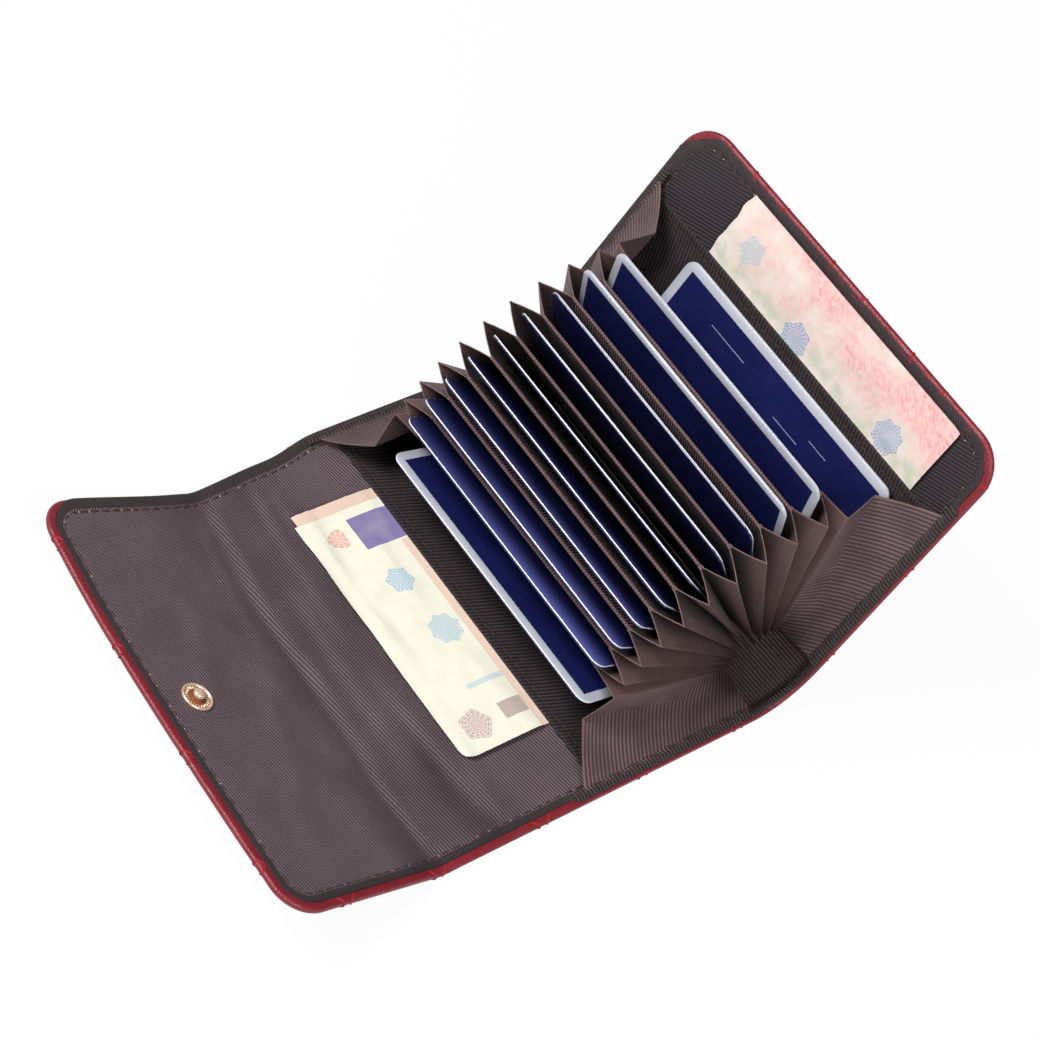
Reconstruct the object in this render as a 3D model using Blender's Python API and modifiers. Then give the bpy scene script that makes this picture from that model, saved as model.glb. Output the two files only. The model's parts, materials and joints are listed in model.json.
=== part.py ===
"""Accordion card wallet, lying open on its back panel.

Eleven card pockets fan out between a back panel and a front panel that the spine joins.
X runs along the wallet's width, -Y from the spine to the flap, +Z up. Every piece is laid
out as in the closed wallet, a flat stack, and a chain of empties at the pocket bottoms
then opens the fan, so the closed wallet fits by construction.
"""

import math

import bmesh
import bpy
from mathutils import Matrix, Vector

MM = 0.001

# Cards of the standard bank size
CARD_WIDTH = 85.6 * MM
CARD_HEIGHT = 53.98 * MM
CARD_THICKNESS = 0.76 * MM
CARD_CORNER = 3.18 * MM
CARD_CLEARANCE = 0.27 * MM
CARD_FOOT_GAP = 0.3 * MM

# Leather cover, lining and the layers between them
SHELL_MARGIN = 3.3 * MM
PANEL_HEIGHT = 78.0 * MM
SPINE_EDGE_Y = 51.8 * MM
FLAP_HEIGHT = 52.5 * MM
FLAP_CORNER = 10.0 * MM
FRONT_CORNER = 13.0 * MM
LEATHER = 1.2 * MM
LINING = 0.5 * MM
LAYER_GAP = 0.15 * MM
HEM = 2.0 * MM
HEM_GAP = 0.2 * MM
FOLD_GAP = 0.3 * MM
CUT_OVERRUN = 2.0 * MM

# Slip pockets for notes, one on each panel
BAND_CLOTH = 0.45 * MM
BAND_SPACE = 0.55 * MM
BACK_BAND_DROP = 1.98 * MM
FRONT_BAND_DROP = 0.48 * MM
BAND_SEAM = 4.0 * MM
BAND_FOOT = 6.0 * MM
BAND_INSET = 0.5 * MM

# Dividers, between the pockets
DIVIDER_INSET = 2.6 * MM
DIVIDER_TOP = 50.2 * MM
DIVIDER_CLOTH = 0.5 * MM
BOUND_CLOTH = 0.7 * MM
BOUND_DEPTH = 5.0 * MM
BOUND_SLOPE = 0.5 * MM

# Side gussets: each is a pocket's floor with a pleat at both ends
GUSSET_REACH = 6.2 * MM
GUSSET_SPREAD = 11.2 * MM
GUSSET_SEAM_RISE = 7.3 * MM
PLEAT_BEND_INSET = 2.0 * MM
GUSSET_CLOTH = 0.12 * MM
GUSSET_TIP_CLOTH = 0.3 * MM
GUSSET_SEAM_CLOTH = 1.0 * MM
GUSSET_GAP = 0.1 * MM
GUSSET_SIDE_GAP = 0.2 * MM
FLOOR_MARGIN = 1.2 * MM
FLOOR_LOW = 0.9 * MM
FLOOR_HIGH = 1.4 * MM
PLEAT_LOW = 1.0 * MM
END_PLEAT_SHARE = 0.07

# The open fan, in degrees
DIVIDER_COUNT = 10
BACK_POCKET_ANGLE = 22.0
INNER_POCKET_ANGLE = 5.5
INNER_POCKET_STEP = 0.51
FRONT_POCKET_ANGLE = 23.1
FLAP_CURL = 20.0
HINGE_BEHIND = 1.5 * MM
BACK_CARD_SHARE = 0.73
INNER_CARD_SHARE = 0.5
FRONT_CARD_SHARE = 0.9

# The front pocket is deeper; two cards stand proud of their floors, and two are off centre
FLOOR_DROPS = {10: 3.6 * MM}
CARD_LIFTS = {8: 1.5 * MM, 9: 1.5 * MM}
CARD_SHIFTS = {0: 3.4 * MM, 10: 5.0 * MM}

# Folded paper notes
PAPER = 0.14 * MM
PAPER_GAP = 0.1 * MM
NOTE_LIFT = 0.07 * MM
BACK_NOTE_INSET = 24.5 * MM
BACK_NOTE_DROP = 0.4 * MM
BACK_NOTE_SHIFT = 1.0 * MM
FRONT_NOTE_INSET = 19.5 * MM
FRONT_NOTE_DROP = 3.8 * MM
FRONT_NOTE_SHIFT = -4.0 * MM
NOTE_FOOT = 22.0 * MM
NOTE_OFFSET = 3.5 * MM
NOTE_CORNER = 2.5 * MM
NOTE_FOLD = 1.2 * MM

# Snap fastener
SNAP_TO_EDGE = 16.0 * MM
SNAP_GAP = 0.1 * MM
CLOSED_FLAP_GAP = 1.2 * MM
STUD_PLATE_RADIUS = 4.3 * MM
STUD_PLATE = 0.5 * MM
STUD_PLATE_BEVEL = 0.2 * MM
STUD_NECK_RADIUS = 1.5 * MM
STUD_NECK = 0.5 * MM
STUD_BULB_RADIUS = 1.9 * MM
STUD_BULB = 0.35 * MM
STUD_HEIGHT = 1.85 * MM
STUD_CROWN_RADIUS = 1.2 * MM
STUD_CROWN = 0.05 * MM
POST_RADIUS = 0.95 * MM
POST_CLEARANCE = 0.15 * MM
POST_HOLE_CLEARANCE = 0.3 * MM
POST_REACH = 0.8 * MM
CAP_RADIUS = 5.0 * MM
CAP_RIM = 0.25 * MM
CAP_SHOULDER_RADIUS = 3.5 * MM
CAP_SHOULDER = 0.75 * MM
CAP_DOME = 0.95 * MM
SOCKET_CLEARANCE = 0.25 * MM
SOCKET_WALL = 0.75 * MM
SOCKET_HOLE_CLEARANCE = 0.15 * MM
SOCKET_BARREL = 1.1 * MM
SOCKET_FLANGE_RADIUS = 4.6 * MM
SOCKET_FLANGE = 0.35 * MM
SOCKET_BEVEL = 0.2 * MM

CORNER_STEPS = 6
TURN_STEPS = 28
SPINE_STEPS = 12
WELD = 0.001 * MM
SMOOTH_ANGLE = 35.0

# Worked out from the sizes above: widths grow outwards from the card
DIVIDER_WIDTH = CARD_WIDTH - 2 * DIVIDER_INSET
FLOOR_WIDTH = CARD_WIDTH + 2 * FLOOR_MARGIN
GUSSET_WIDTH = CARD_WIDTH + 2 * GUSSET_REACH
PLEAT_BEND_WIDTH = GUSSET_WIDTH - 2 * PLEAT_BEND_INSET
GUSSET_SEAM_WIDTH = GUSSET_WIDTH + 2 * GUSSET_SPREAD
GUSSET_SEAM_TOP = DIVIDER_TOP + GUSSET_SEAM_RISE
SHELL_WIDTH = GUSSET_SEAM_WIDTH + 2 * SHELL_MARGIN
HALF_SHELL = SHELL_WIDTH / 2
BACK_BAND_REACH = CARD_HEIGHT - BACK_BAND_DROP
FRONT_BAND_REACH = CARD_HEIGHT - FRONT_BAND_DROP
BACK_NOTE_WIDTH = SHELL_WIDTH - 2 * BACK_NOTE_INSET
BACK_NOTE_TOP = PANEL_HEIGHT - BACK_NOTE_DROP
FRONT_NOTE_WIDTH = SHELL_WIDTH - 2 * FRONT_NOTE_INSET
FRONT_NOTE_TOP = PANEL_HEIGHT - FRONT_NOTE_DROP
SNAP_TO_FOLD = FLAP_HEIGHT - SNAP_TO_EDGE
POST_HOLE_RADIUS = POST_RADIUS + POST_HOLE_CLEARANCE
SOCKET_BORE_RADIUS = STUD_BULB_RADIUS + SOCKET_CLEARANCE
SOCKET_BARREL_RADIUS = SOCKET_BORE_RADIUS + SOCKET_WALL
SOCKET_HOLE_RADIUS = SOCKET_BARREL_RADIUS + SOCKET_HOLE_CLEARANCE
LINING_LOW = LEATHER + LAYER_GAP
LINING_TOP = LINING_LOW + LINING
BAND_LOW = LINING_TOP + LAYER_GAP
BAND_TOP = BAND_LOW + BAND_SPACE + BAND_CLOTH
POCKET_HALF_GAP = CARD_THICKNESS / 2 + CARD_CLEARANCE
HINGE_HEIGHT = BAND_TOP + POCKET_HALF_GAP
PITCH = DIVIDER_CLOTH + 2 * POCKET_HALF_GAP
CLOSED_THICKNESS = 2 * HINGE_HEIGHT + DIVIDER_COUNT * PITCH
STRIP_FOLD_Y = -(PANEL_HEIGHT + FOLD_GAP / 2)
STRIP_SPAN = CLOSED_THICKNESS + CLOSED_FLAP_GAP - LINING_TOP
FLAP_FOLD_Y = STRIP_FOLD_Y - STRIP_SPAN
CARD_FOOT = FLOOR_HIGH + CARD_FOOT_GAP
DIVIDER_FOOT = FLOOR_HIGH + CARD_FOOT_GAP

# Colours are linear, then roughness and metallic
MATERIALS = {
    "leather": ((0.30, 0.022, 0.030), 0.42, 0.0),
    "lining": ((0.060, 0.048, 0.054), 0.85, 0.0),
    "ribbed_cloth": ((0.085, 0.062, 0.064), 0.80, 0.0),
    "card": ((0.008, 0.010, 0.050), 0.35, 0.0),
    "cream_paper": ((0.80, 0.76, 0.66), 0.80, 0.0),
    "pink_paper": ((0.78, 0.50, 0.46), 0.80, 0.0),
    "snap_metal": ((0.72, 0.45, 0.30), 0.28, 1.0),
}


def clear_scene():
    for obj in list(bpy.data.objects):
        bpy.data.objects.remove(obj, do_unlink=True)


def new_collection(name):
    collection = bpy.data.collections.new(name)
    bpy.context.scene.collection.children.link(collection)
    return collection


def material(name):
    """The named material, made on first use."""
    if name in bpy.data.materials:
        return bpy.data.materials[name]
    colour, roughness, metallic = MATERIALS[name]
    made = bpy.data.materials.new(name)
    made.use_nodes = True
    shader = made.node_tree.nodes["Principled BSDF"]
    shader.inputs["Base Color"].default_value = (*colour, 1.0)
    shader.inputs["Roughness"].default_value = roughness
    shader.inputs["Metallic"].default_value = metallic
    made.diffuse_color = (*colour, 1.0)
    return made


def empty(name, parent, location, tilt=0.0, turn=0.0):
    """A joint's frame: tilt in degrees about X, turn in degrees about Y."""
    made = bpy.data.objects.new(name, None)
    WALLET.objects.link(made)
    made.empty_display_size = PITCH
    made.parent = parent
    made.location = location
    made.rotation_euler = (math.radians(tilt), math.radians(turn), 0.0)
    return made


def evaluated_mesh(obj, name):
    graph = bpy.context.evaluated_depsgraph_get()
    return bpy.data.meshes.new_from_object(obj.evaluated_get(graph), depsgraph=graph).copy()


def finish(name, mesh, parent, finish_name):
    """The mesh as a named piece of the wallet, on its parent frame."""
    mesh.name = name
    piece = bpy.data.objects.new(name, mesh)
    WALLET.objects.link(piece)
    piece.parent = parent
    mesh.materials.clear()
    mesh.materials.append(material(finish_name))
    return piece


def face_outwards(shape):
    """Turns a closed shape's faces to point out of it."""
    bmesh.ops.recalc_face_normals(shape, faces=shape.faces)
    if shape.calc_volume(signed=True) < 0:
        bmesh.ops.reverse_faces(shape, faces=shape.faces)


def extruded(outline, thickness):
    """A mesh of a flat outline, extruded to both sides of its plane."""
    curve = bpy.data.curves.new("outline", "CURVE")
    curve.dimensions = "2D"
    curve.fill_mode = "BOTH"
    curve.extrude = thickness / 2
    spline = curve.splines.new("POLY")
    spline.points.add(len(outline) - 1)
    for point, place in zip(spline.points, outline):
        point.co = (place[0], place[1], 0.0, 1.0)
    spline.use_cyclic_u = True
    guide = bpy.data.objects.new("outline", curve)
    bpy.context.scene.collection.objects.link(guide)
    mesh = evaluated_mesh(guide, "outline")
    bpy.data.objects.remove(guide, do_unlink=True)
    bpy.data.curves.remove(curve)
    shape = bmesh.new()
    shape.from_mesh(mesh)
    bmesh.ops.remove_doubles(shape, verts=shape.verts, dist=WELD)
    face_outwards(shape)
    shape.to_mesh(mesh)
    shape.free()
    return mesh


def slab(outline, low, high):
    """A flat outline in X and Y, from height low to height high."""
    mesh = extruded(outline, high - low)
    mesh.transform(Matrix.Translation((0.0, 0.0, (low + high) / 2)))
    return mesh


def prism(outline, width, centre=0.0):
    """An outline in Y and Z, extruded to the given width along X."""
    mesh = extruded(outline, width)
    along_x = Matrix(((0, 0, 1, 0), (1, 0, 0, 0), (0, 1, 0, 0), (0, 0, 0, 1)))
    mesh.transform(Matrix.Translation((centre, 0.0, 0.0)) @ along_x)
    return mesh


def folded_sheet(sections):
    """A thin body through sections. Each is its outer line, then its inner line back.

    Every diagonal starts nearest a section's second point, on both lines alike, so the two
    faces never cross and the sheet bulges outwards there.
    """
    shape = bmesh.new()
    rings = [[shape.verts.new(point) for point in section] for section in sections]
    count = len(rings[0])

    def from_fold(i):
        return abs(min(i, count - 1 - i) - 1)

    for lower, upper in zip(rings, rings[1:]):
        for i in range(count):
            near, far = sorted((i, (i + 1) % count), key=from_fold)
            shape.faces.new((lower[near], upper[far], lower[far]))
            shape.faces.new((lower[near], upper[far], upper[near]))
    for ring in (rings[0], rings[-1]):
        for i in range(count // 2 - 1):
            shape.faces.new((ring[i], ring[i + 1], ring[-2 - i], ring[-1 - i]))
    face_outwards(shape)
    mesh = bpy.data.meshes.new("folded_sheet")
    shape.to_mesh(mesh)
    shape.free()
    return mesh


def turned(profile):
    """A solid of revolution about Z. The profile runs down its outer side."""
    mesh = bpy.data.meshes.new("profile")
    count = len(profile)
    closed = profile[0][0] > 0
    edges = [(i, (i + 1) % count) for i in range(count if closed else count - 1)]
    mesh.from_pydata([(r, 0.0, z) for r, z in profile], edges, [])
    guide = bpy.data.objects.new("profile", mesh)
    bpy.context.scene.collection.objects.link(guide)
    screw = guide.modifiers.new("turn", "SCREW")
    screw.steps = TURN_STEPS
    screw.render_steps = TURN_STEPS
    screw.use_merge_vertices = True
    screw.merge_threshold = WELD
    made = evaluated_mesh(guide, "turned")
    bpy.data.objects.remove(guide, do_unlink=True)
    shape = bmesh.new()
    shape.from_mesh(made)
    bmesh.ops.remove_doubles(shape, verts=shape.verts, dist=WELD)
    face_outwards(shape)
    shape.to_mesh(made)
    shape.free()
    made.shade_smooth()
    made.set_sharp_from_angle(angle=math.radians(SMOOTH_ANGLE))
    return made


def combined(mesh, others, operation):
    """The mesh after a Boolean with each of the others, which are used up."""
    base = bpy.data.objects.new("base", mesh)
    bpy.context.scene.collection.objects.link(base)
    tools = []
    for other in others:
        tool = bpy.data.objects.new("tool", other)
        CUTTERS.objects.link(tool)
        tool.hide_render = True
        tool.display_type = "WIRE"
        tools.append(tool)
        change = base.modifiers.new("change", "BOOLEAN")
        change.operation = operation
        change.solver = "EXACT"
        change.object = tool
    made = evaluated_mesh(base, "combined")
    for used in [base, *tools]:
        bpy.data.objects.remove(used, do_unlink=True)
    return made


def outline_of(half_width, near, far, corner=0.0, centre=0.0):
    """A rectangle from Y near down to Y far, with its two far corners rounded."""
    points = [(centre + half_width, near), (centre - half_width, near)]
    if not corner:
        return points + [(centre - half_width, far), (centre + half_width, far)]
    for side, start in ((-1, math.pi), (1, 1.5 * math.pi)):
        middle = (centre + side * (half_width - corner), far + corner)
        for step in range(CORNER_STEPS + 1):
            angle = start + math.pi / 2 * step / CORNER_STEPS
            points.append((middle[0] + corner * math.cos(angle), middle[1] + corner * math.sin(angle)))
    return points


def disc(x, y, radius, low, high):
    """A round cutter along Z."""
    shape = bmesh.new()
    bmesh.ops.create_cone(
        shape,
        cap_ends=True,
        segments=TURN_STEPS,
        radius1=radius,
        radius2=radius,
        depth=high - low,
        matrix=Matrix.Translation((x, y, (low + high) / 2)),
    )
    mesh = bpy.data.meshes.new("disc")
    shape.to_mesh(mesh)
    shape.free()
    return mesh


def cover_mesh(near, far, corner=0.0):
    """A leather panel whose edge is turned over, as high as the lining that it frames."""
    mesh = slab(outline_of(HALF_SHELL, near, far, corner), 0.0, LINING_TOP)
    free_edge = far + HEM if corner else far - CUT_OVERRUN
    inner_corner = corner - HEM if corner else 0.0
    recess = outline_of(HALF_SHELL - HEM, near + CUT_OVERRUN, free_edge, inner_corner)
    return combined(mesh, [slab(recess, LEATHER, LINING_TOP + CUT_OVERRUN)], "DIFFERENCE")


def lining_mesh(near, far, corner=0.0):
    inset = HEM + HEM_GAP
    free_edge = far + inset if corner else far
    inner_corner = corner - inset if corner else 0.0
    return slab(outline_of(HALF_SHELL - inset, near, free_edge, inner_corner), LINING_LOW, LINING_TOP)


def slip_pocket_mesh(reach):
    """A band sewn down on three sides over a flat space, open away from the spine."""
    half = HALF_SHELL - HEM - HEM_GAP - BAND_INSET
    mesh = slab(outline_of(half, 0.0, -reach), BAND_LOW, BAND_TOP)
    space = outline_of(half - BAND_SEAM, -BAND_FOOT, -reach - CUT_OVERRUN)
    return combined(mesh, [slab(space, BAND_LOW - CUT_OVERRUN, BAND_LOW + BAND_SPACE)], "DIFFERENCE")


def note_mesh(width, top, centre, corner):
    """A sheet folded once: two layers with one fold at the foot, the lower layer set sideways."""
    low = BAND_LOW + NOTE_LIFT
    upper = slab(outline_of(width / 2, -NOTE_FOOT, -top, corner, centre), low + PAPER + PAPER_GAP,
                 low + 2 * PAPER + PAPER_GAP)
    side = centre - NOTE_OFFSET
    lower = slab(outline_of(width / 2, -NOTE_FOOT, NOTE_FOLD - top, corner, side), low, low + PAPER)
    fold_width = width - 2 * NOTE_OFFSET
    fold = slab(outline_of(fold_width / 2, -NOTE_FOOT + NOTE_FOLD / 2, -NOTE_FOOT - NOTE_FOLD, 0.0, centre),
                low + PAPER / 2, low + PAPER_GAP + PAPER * 3 / 2)
    return combined(upper, [fold, lower], "UNION")


def divider_mesh():
    """A cloth divider, thicker along its bound top edge."""
    half, bound = DIVIDER_CLOTH / 2, BOUND_CLOTH / 2
    step = DIVIDER_TOP - BOUND_DEPTH
    side = [(DIVIDER_FOOT, half), (step - BOUND_SLOPE, half), (step, bound), (DIVIDER_TOP, bound)]
    outline = [(-y, z) for y, z in side] + [(-y, -z) for y, z in reversed(side)]
    return prism(outline, DIVIDER_WIDTH)


def card_mesh(number):
    """A card with four round corners, centred on its pocket's middle plane."""
    lift = CARD_FOOT + CARD_LIFTS.get(number, 0.0) - FLOOR_DROPS.get(number, 0.0)
    shift = CARD_SHIFTS.get(number, 0.0)
    points = []
    for side, end, start in ((1, 1, 0.0), (-1, 1, 0.5), (-1, -1, 1.0), (1, -1, 1.5)):
        x = shift + side * (CARD_WIDTH / 2 - CARD_CORNER)
        y = -lift - CARD_HEIGHT / 2 + end * (CARD_HEIGHT / 2 - CARD_CORNER)
        for step in range(CORNER_STEPS + 1):
            angle = math.pi * (start + step / CORNER_STEPS / 2)
            points.append((x + CARD_CORNER * math.cos(angle), y + CARD_CORNER * math.sin(angle)))
    return slab(points, -CARD_THICKNESS / 2, CARD_THICKNESS / 2)


def pocket_angle(number):
    """How far pocket number opens at rest, in degrees."""
    if number == 0:
        return BACK_POCKET_ANGLE
    if number == DIVIDER_COUNT:
        return FRONT_POCKET_ANGLE
    return INNER_POCKET_ANGLE + INNER_POCKET_STEP * (number - 1)


def card_share(number):
    """The share of its pocket's angle that lies below the card."""
    if number == 0:
        return BACK_CARD_SHARE
    if number == DIVIDER_COUNT:
        return FRONT_CARD_SHARE
    return INNER_CARD_SHARE


def wall_heights(number, reach):
    """Heights of a pocket's lower and upper wall at a distance from its hinge."""
    angle = math.radians(pocket_angle(number))
    below = angle * card_share(number)
    above = angle - below
    gap = POCKET_HALF_GAP - GUSSET_GAP
    reach = max(reach, 0.0)
    low = -gap / math.cos(below) - reach * math.tan(below)
    high = gap / math.cos(above) + reach * math.tan(above)
    return low, high


def pleat_section(number, side, reach, seam_reach, bend):
    """A pleat's section at a distance from the hinge: outer line, then inner line back.

    An end pocket's pleat runs on to a seam on the panel, and bend, from 0 to 1, is how far
    that wide part is folded in.
    """
    low, high = wall_heights(number, reach)
    inner = DIVIDER_WIDTH / 2 + GUSSET_SIDE_GAP
    tip = GUSSET_WIDTH / 2
    cloth = GUSSET_CLOTH
    if 0 < number < DIVIDER_COUNT:
        fold = (low + high) / 2
        line = [(inner, reach, low), (tip, reach, fold), (inner, reach, high)]
        inwards = [(0.0, cloth), (-GUSSET_TIP_CLOTH, 0.0), (0.0, -cloth)]
    else:
        seam = GUSSET_SEAM_WIDTH / 2
        seam_low, seam_high = wall_heights(number, seam_reach)
        divider, panel = (high, low) if number == 0 else (low, high)
        sewn = seam_low if number == 0 else seam_high
        fold = divider + END_PLEAT_SHARE * (panel - divider)
        straight = (tip + seam) / 2
        middle = straight + bend * (PLEAT_BEND_WIDTH / 2 - straight)
        line = [(inner, reach, divider), (tip, reach, fold)]
        line += [(middle, reach, (fold + sewn) / 2), (seam, seam_reach, sewn)]
        down = -cloth if number == 0 else cloth
        inwards = [(0.0, down), (-GUSSET_TIP_CLOTH, down), (-GUSSET_TIP_CLOTH, down)]
        inwards += [(-GUSSET_SEAM_CLOTH, 0.0)]
    back = [(x + dx, y, z + dz) for (x, y, z), (dx, dz) in zip(line, inwards)]
    return [Vector((side * x, -y, z)) for x, y, z in line + back[::-1]]


def gusset_mesh(number):
    """A pocket's floor with a pleat at each end, spread like the pocket."""
    drop = FLOOR_DROPS.get(number, 0.0)
    low, high = wall_heights(number, FLOOR_LOW - drop)
    floor = slab(outline_of(FLOOR_WIDTH / 2, drop - FLOOR_LOW, drop - FLOOR_HIGH), low, high)
    reaches = [(PLEAT_LOW, PLEAT_LOW, 0.0), (DIVIDER_TOP, GUSSET_SEAM_TOP, 1.0)]
    if drop:
        reaches.insert(0, (PLEAT_LOW - drop, PLEAT_LOW - drop, 0.0))
    pleats = [
        folded_sheet([pleat_section(number, side, *places) for places in reaches]) for side in (-1, 1)
    ]
    return combined(floor, pleats, "UNION")


def spine_line(offset, steps):
    """Points across the bent spine, offset inwards from the cover's outer face."""
    start = Vector((0.0, FOLD_GAP, 0.0))
    bpy.context.view_layer.update()
    frame = FRAMES["back"].matrix_world.inverted() @ FRAMES["front"].matrix_world
    end = frame @ Vector((0.0, FOLD_GAP, 0.0))
    out = (frame.to_3x3() @ Vector((0.0, -1.0, 0.0))).normalized()
    inward = (frame.to_3x3() @ Vector((0.0, 0.0, 1.0))).normalized()
    handle = (end - start).length / 3 / math.cos(math.radians(total_angle()) / 4)
    cage = [start, start + Vector((0.0, handle, 0.0)), end - handle * out, end]
    points = []
    for step in range(steps + 1):
        t = step / steps
        s = 1 - t
        place = s**3 * cage[0] + 3 * s * s * t * cage[1] + 3 * s * t * t * cage[2] + t**3 * cage[3]
        slope = s * s * (cage[1] - cage[0]) + 2 * s * t * (cage[2] - cage[1]) + t * t * (cage[3] - cage[2])
        if 0 < step < steps:
            side = Vector((0.0, -slope.z, slope.y)).normalized()
        else:
            side = Vector((0.0, 0.0, 1.0)) if step == 0 else inward
        place = place + offset * side
        points.append((place.y, place.z))
    return points


def total_angle():
    """How far the front panel leans at rest from the back panel's plane, in degrees."""
    return 180.0 - sum(pocket_angle(number) for number in range(DIVIDER_COUNT + 1))


def spine_mesh(low, high, width):
    return prism(spine_line(low, SPINE_STEPS) + spine_line(high, SPINE_STEPS)[::-1], width)


def stud_mesh():
    """The male half: a plate with a bulb, hollow below to take the rivet post."""
    foot = LINING_TOP + SNAP_GAP
    plate = foot + STUD_PLATE
    neck = plate + STUD_NECK
    bore = POST_RADIUS + POST_CLEARANCE
    depth = foot + POST_REACH + POST_CLEARANCE
    top = foot + STUD_HEIGHT
    return turned([
        (0.0, top), (STUD_CROWN_RADIUS, top - STUD_CROWN), (STUD_BULB_RADIUS, neck + STUD_BULB),
        (STUD_NECK_RADIUS, neck), (STUD_NECK_RADIUS, plate), (STUD_PLATE_RADIUS - STUD_PLATE_BEVEL, plate),
        (STUD_PLATE_RADIUS, plate - STUD_PLATE / 2), (STUD_PLATE_RADIUS, foot), (bore, foot),
        (bore, depth), (0.0, depth),
    ])


def cap_mesh():
    """The domed cap outside the flap, with the post that rivets the stud."""
    post = LINING_TOP + SNAP_GAP + POST_REACH
    seat = -SNAP_GAP
    return turned([
        (0.0, post), (POST_RADIUS, post), (POST_RADIUS, seat), (CAP_RADIUS, seat),
        (CAP_RADIUS, seat - CAP_RIM), (CAP_SHOULDER_RADIUS, seat - CAP_SHOULDER), (0.0, seat - CAP_DOME),
    ])


def socket_mesh():
    """The female half: a flange outside the front panel and a barrel through its leather."""
    seat = -SNAP_GAP
    face = seat - SOCKET_FLANGE
    return turned([
        (SOCKET_BORE_RADIUS, SOCKET_BARREL), (SOCKET_BARREL_RADIUS, SOCKET_BARREL),
        (SOCKET_BARREL_RADIUS, seat), (SOCKET_FLANGE_RADIUS, seat),
        (SOCKET_FLANGE_RADIUS, face + SOCKET_BEVEL), (SOCKET_FLANGE_RADIUS - SOCKET_BEVEL, face),
        (SOCKET_BORE_RADIUS, face),
    ])


def make_frames():
    """Empties on every joint axis, laid out closed and opened by their own tilt."""
    frames = {"back": empty("back_frame", None, (0.0, SPINE_EDGE_Y, 0.0))}
    frames["strip"] = empty("strip_fold", frames["back"], (0.0, STRIP_FOLD_Y, LINING_TOP))
    frames["flap"] = empty("flap_fold", frames["strip"], (0.0, -STRIP_SPAN, 0.0), -FLAP_CURL)
    parent, place = frames["back"], (0.0, HINGE_BEHIND, HINGE_HEIGHT)
    for number in range(DIVIDER_COUNT + 1):
        angle = pocket_angle(number)
        tilt = -angle * card_share(number)
        frames[f"pocket_{number}"] = empty(f"pocket_{number}_frame", parent, place, tilt)
        name = "front_fold" if number == DIVIDER_COUNT else f"divider_{number}_fold"
        parent = empty(name, parent, place, -angle)
        place = (0.0, 0.0, PITCH)
        frames["front_hinge" if number == DIVIDER_COUNT else f"divider_{number}"] = parent
    face = (0.0, -HINGE_BEHIND, HINGE_HEIGHT)
    frames["front"] = empty("front_frame", frames["front_hinge"], face, 0.0, 180.0)
    return frames


def make_back():
    frame = FRAMES["back"]
    finish("back_cover", cover_mesh(0.0, -PANEL_HEIGHT), frame, "leather")
    finish("back_lining", lining_mesh(0.0, -PANEL_HEIGHT), frame, "lining")
    finish("back_slip_pocket", slip_pocket_mesh(BACK_BAND_REACH), frame, "ribbed_cloth")
    note = note_mesh(BACK_NOTE_WIDTH, BACK_NOTE_TOP, BACK_NOTE_SHIFT, NOTE_CORNER)
    finish("back_note", note, frame, "cream_paper")


def make_flap():
    """The strip over the pockets' open side and the flap that hangs from it."""
    near = STRIP_FOLD_Y - FOLD_GAP / 2
    far = FLAP_FOLD_Y + FOLD_GAP / 2
    for name, mesh, finish_name in (
        ("strip_cover", cover_mesh(near, far), "leather"),
        ("strip_lining", lining_mesh(near, far), "lining"),
    ):
        mesh.transform(Matrix.Translation((0.0, -STRIP_FOLD_Y, -LINING_TOP)))
        finish(name, mesh, FRAMES["strip"], finish_name)
    near, far = -FOLD_GAP / 2, -FLAP_HEIGHT
    hole = (0.0, -SNAP_TO_FOLD, POST_HOLE_RADIUS, -CUT_OVERRUN, LINING_TOP + CUT_OVERRUN)
    cover = combined(cover_mesh(near, far, FLAP_CORNER), [disc(*hole)], "DIFFERENCE")
    lining = combined(lining_mesh(near, far, FLAP_CORNER), [disc(*hole)], "DIFFERENCE")
    stud, cap = stud_mesh(), cap_mesh()
    for mesh in (stud, cap):
        mesh.transform(Matrix.Translation((0.0, -SNAP_TO_FOLD, 0.0)))
    for name, mesh, finish_name in (
        ("flap_cover", cover, "leather"),
        ("flap_lining", lining, "lining"),
        ("snap_stud", stud, "snap_metal"),
        ("snap_cap", cap, "snap_metal"),
    ):
        mesh.transform(Matrix.Translation((0.0, 0.0, -LINING_TOP)))
        finish(name, mesh, FRAMES["flap"], finish_name)


def make_front():
    frame = FRAMES["front"]
    socket_y = STRIP_FOLD_Y + SNAP_TO_FOLD
    hole = disc(0.0, socket_y, SOCKET_HOLE_RADIUS, -CUT_OVERRUN, LEATHER + LAYER_GAP / 2)
    cover = combined(cover_mesh(0.0, -PANEL_HEIGHT, FRONT_CORNER), [hole], "DIFFERENCE")
    finish("front_cover", cover, frame, "leather")
    finish("front_lining", lining_mesh(0.0, -PANEL_HEIGHT, FRONT_CORNER), frame, "lining")
    finish("front_slip_pocket", slip_pocket_mesh(FRONT_BAND_REACH), frame, "ribbed_cloth")
    note = note_mesh(FRONT_NOTE_WIDTH, FRONT_NOTE_TOP, FRONT_NOTE_SHIFT, 0.0)
    finish("front_note", note, frame, "pink_paper")
    socket = socket_mesh()
    socket.transform(Matrix.Translation((0.0, socket_y, 0.0)))
    finish("snap_socket", socket, frame, "snap_metal")


def make_spine():
    frame = FRAMES["back"]
    finish("spine_cover", spine_mesh(0.0, LEATHER, SHELL_WIDTH), frame, "leather")
    width = SHELL_WIDTH - 2 * (HEM + HEM_GAP)
    finish("spine_lining", spine_mesh(LINING_LOW, LINING_TOP, width), frame, "ribbed_cloth")


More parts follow.
